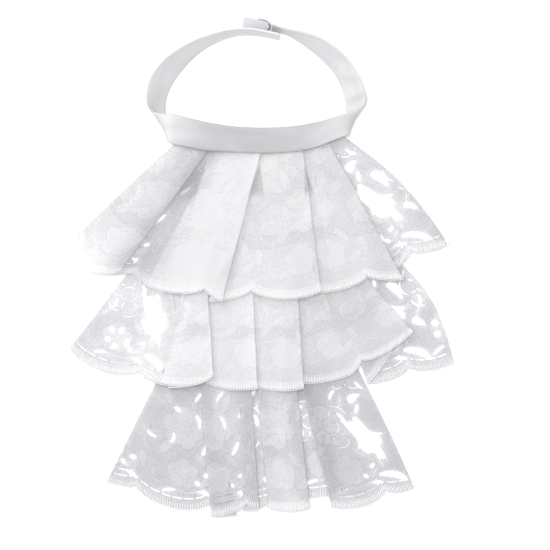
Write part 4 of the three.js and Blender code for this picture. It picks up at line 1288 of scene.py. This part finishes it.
# ------------------------------------------------------------------ settings
class JabotLook(bpy.types.PropertyGroup):
    """The lace's net and the colours of the threads and cloths."""

    net_pitch: FloatProperty(
        name="Net pitch",
        description="Distance between two holes of the ground",
        default=NET_PITCH * MM,
        unit="LENGTH",
    )
    # The lace at its brightest: its densest threads, and where it is painted lit.
    lace_colour: FloatVectorProperty(
        name="Lace", description="Where the lace is densest, and where it is painted lit", subtype="COLOR", default=linear(0xFAFAFB)
    )
    # The lace at its darkest: its thinner threads, and where it is painted in shade.
    lace_shade: FloatVectorProperty(
        name="Lace, thinner and in painted shade",
        description="Where its threads lie thinner, and where it is painted in shade",
        subtype="COLOR",
        default=linear(0xCCCCCF),
    )
    lace_shadow: FloatVectorProperty(
        name="Lace, shaded",
        description="Deep in the mouth of a pleat",
        subtype="COLOR",
        default=linear(0x77777C),
    )
    # The satin where it is painted lit; the tape also takes this as its own colour.
    satin_colour: FloatVectorProperty(
        name="Satin", description="The neckband's cloth", subtype="COLOR", default=linear(0xEFEFF1)
    )
    # The satin where it is painted in shade.
    satin_painted_shade: FloatVectorProperty(
        name="Satin, in painted shade",
        description="Where it is painted in shade",
        subtype="COLOR",
        default=linear(0xB4B4B6),
    )
    net_colour: FloatVectorProperty(
        name="Net", description="The panel under the tiers", subtype="COLOR", default=linear(0xE8E8E9)
    )
    wire_colour: FloatVectorProperty(
        name="Wire", description="The hook's plated wire", subtype="COLOR", default=linear(0x8D9096)
    )


class JabotStudio(bpy.types.PropertyGroup):
    """The surface, the light and the lens."""

    floor_colour: FloatVectorProperty(
        name="Surface", description="What the jabot lies on", subtype="COLOR", default=linear(0xFAFAFA)
    )
    key_power: FloatProperty(
        name="Key light", description="The large light at the upper left", default=27.0, unit="POWER"
    )
    overhead_power: FloatProperty(
        name="Overhead light", description="The soft light over the table", default=84.0, unit="POWER"
    )
    fill_strength: FloatProperty(
        name="Fill light", description="Soft light from all round", default=0.56, min=0.0
    )
    lens: FloatProperty(
        name="Lens", description="Focal length in millimetres", default=CAMERA_LENS, min=50.0
    )


# ------------------------------------------------------------------ operators
class JABOT_OT_net_panel(bpy.types.Operator):
    """Lay the net panel that carries the lower seams"""

    bl_idname = "jabot.net_panel"
    bl_label = "Net panel"

    def execute(self, context):
        look = context.scene.jabot_look
        widths = named(NET_COLUMNS, NET_WIDTHS)
        y, half = (np.array([row[name] for row in widths], float) for name in NET_COLUMNS)
        down = np.linspace(y[0], y[-1], int((y[0] - y[-1]) / NET_STEP) + 1)
        wide = np.interp(-down, -y, half)
        across = np.linspace(-1, 1, int(2 * half.max() / NET_STEP) + 1)
        x = NET_MIDDLE + across[:, None] * wide[None, :]
        wave = np.sin(x / NET_WAVE["across"]) * np.sin(down[None, :] / NET_WAVE["down"])
        level = NET_LEVEL + NET_WAVE["high"] * wave
        points = np.stack([x, np.broadcast_to(down, x.shape), level], axis=-1)
        rows = len(down)
        faces = [
            [i * rows + j, i * rows + j + 1, (i + 1) * rows + j + 1, (i + 1) * rows + j]
            for i in range(len(across) - 1)
            for j in range(rows - 1)
        ]
        piece = new_object("net_panel_cloth", points.reshape(-1, 3), faces, cotton_net(look))
        add_place(piece, "flat_place", points.reshape(-1, 3))
        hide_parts("net_panel")
        return {"FINISHED"}


class JABOT_OT_lace_tiers(bpy.types.Operator):
    """Pleat the three tiers of lace and overcast their edges"""

    bl_idname = "jabot.lace_tiers"
    bl_label = "Lace tiers"

    def execute(self, context):
        look = context.scene.jabot_look
        lace = polyester_lace(look)
        thread = stitch_thread(look)
        for tier in named(TIER_COLUMNS, TIERS):
            tier["runs"] = named(RUN_COLUMNS, tier["runs"])
            tier["spans"] = pattern_spans(tier)
            cloth = build_tier(tier, lace)
            build_edge(tier, thread)
        return {"FINISHED"}


class JABOT_OT_neckband(bpy.types.Operator):
    """Fold the satin neckband round into its loop"""

    bl_idname = "jabot.neckband"
    bl_label = "Neckband"

    def execute(self, context):
        satin = polyester_satin(context.scene.jabot_look)
        piece = build_strip(
            "neckband_cloth",
            BAND_SECTIONS,
            BAND_SECTION_STEPS,
            BAND_WALL,
            band_outline(),
            satin,
            BAND_DENTS,
            BAND_PAINTED_LIGHT,
        )
        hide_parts("neckband")
        return {"FINISHED"}


class JABOT_OT_closure(bpy.types.Operator):
    """Face the band's end with its ribbed tab and bend the wire hook on it"""

    bl_idname = "jabot.closure"
    bl_label = "Tab and hook"

    def execute(self, context):
        look = context.scene.jabot_look
        tab = build_strip(
            "closure_tab_cloth", TAB_SECTIONS, TAB_SECTION_STEPS, TAB_WALL, tab_outline(), ribbed_tape(look)
        )
        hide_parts("closure_tab")
        self.bend_hook(look)
        return {"FINISHED"}

    def bend_hook(self, look):
        """A round wire on a smooth curve, its ends capped."""
        bpy.ops.object.select_all(action="DESELECT")
        bpy.ops.curve.primitive_bezier_curve_add(location=(0, 0, 0))
        hook = bpy.context.object
        curve = hook.data
        curve.splines.clear()
        spline = curve.splines.new("BEZIER")
        spline.bezier_points.add(len(HOOK_PATH) - 1)
        for point, place in zip(spline.bezier_points, HOOK_PATH):
            point.co = Vector(place) * MM
            point.handle_left_type = point.handle_right_type = "AUTO"
        curve.resolution_u = 10
        curve.bevel_depth = HOOK_WIRE / 2 * MM
        curve.bevel_resolution = 4
        curve.use_fill_caps = True
        bpy.ops.object.convert(target="MESH")
        hook = bpy.context.object
        hook.name = "closure_hook_wire"
        hook.data.name = "closure_hook_wire"
        hook.data.materials.clear()
        hook.data.materials.append(nickel_wire(look))
        hook.data.polygons.foreach_set("use_smooth", [True] * len(hook.data.polygons))
        hook.select_set(False)
        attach(hook, "root")
        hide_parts("closure_hook")


class JABOT_OT_stage(bpy.types.Operator):
    """Set the pale surface, the lights and the camera straight above"""

    bl_idname = "jabot.stage"
    bl_label = "Surface, lights and camera"

    def execute(self, context):
        studio = context.scene.jabot_studio
        bpy.ops.object.select_all(action="DESELECT")
        bpy.ops.mesh.primitive_plane_add(size=FLOOR_SIZE, location=(0, 0, FLOOR_LEVEL))
        floor = bpy.context.object
        floor.name = "floor"
        floor.data.materials.append(matt_board(studio))
        self.light_all_round(context, studio)
        self.area_light("key light", *KEY_LAMP, studio.key_power)
        self.area_light("overhead light", *OVERHEAD_LAMP, studio.overhead_power)
        self.camera_above(context, studio)
        return {"FINISHED"}

    def light_all_round(self, context, studio):
        world = bpy.data.worlds.new("soft box")
        context.scene.world = world
        world.use_nodes = True
        background = world.node_tree.nodes["Background"]
        background.inputs["Color"].default_value = (*linear(0xFEFEFF), 1)
        background.inputs["Strength"].default_value = studio.fill_strength

    def area_light(self, name, place, size, power):
        """A round soft light that faces the jabot."""
        bpy.ops.object.light_add(type="AREA", location=place)
        lamp = bpy.context.object
        lamp.name = name
        lamp.data.shape = "DISK"
        lamp.data.size = size
        lamp.data.energy = power
        lamp.rotation_euler = (-lamp.location).to_track_quat("-Z", "Y").to_euler()

    def camera_above(self, context, studio):
        height = VIEW_WIDTH * MM * studio.lens / SENSOR_WIDTH
        x, y = VIEW_MIDDLE
        bpy.ops.object.camera_add(location=(x * MM, y * MM, height), rotation=(0, 0, 0))
        camera = bpy.context.object
        camera.name = "camera above"
        camera.data.lens = studio.lens
        camera.data.sensor_width = SENSOR_WIDTH
        camera.data.clip_end = FAR_CLIP
        context.scene.camera = camera
        context.scene.view_settings.view_transform = "Standard"


class JABOT_PT_panel(bpy.types.Panel):
    """The jabot's pieces and settings"""

    bl_label = "Lace jabot"
    bl_idname = "JABOT_PT_panel"
    bl_space_type = "VIEW_3D"
    bl_region_type = "UI"
    bl_category = "Jabot"

    def draw(self, context):
        for group in (context.scene.jabot_look, context.scene.jabot_studio):
            for name in group.__annotations__:
                self.layout.prop(group, name)
        for step in STEPS:
            self.layout.operator(step.bl_idname)


STEPS = [
    JABOT_OT_net_panel,
    JABOT_OT_lace_tiers,
    JABOT_OT_neckband,
    JABOT_OT_closure,
    JABOT_OT_stage,
]
CLASSES = [JabotLook, JabotStudio, *STEPS, JABOT_PT_panel]


def register():
    for kind in CLASSES:
        bpy.utils.register_class(kind)
    bpy.types.Scene.jabot_look = PointerProperty(type=JabotLook)
    bpy.types.Scene.jabot_studio = PointerProperty(type=JabotStudio)


def unregister():
    del bpy.types.Scene.jabot_studio
    del bpy.types.Scene.jabot_look
    for kind in reversed(CLASSES):
        bpy.utils.unregister_class(kind)


def main():
    register()
    bpy.ops.jabot.net_panel()
    bpy.ops.jabot.lace_tiers()
    bpy.ops.jabot.neckband()
    bpy.ops.jabot.closure()
    bpy.ops.jabot.stage()


if __name__ == "__main__":
    main()
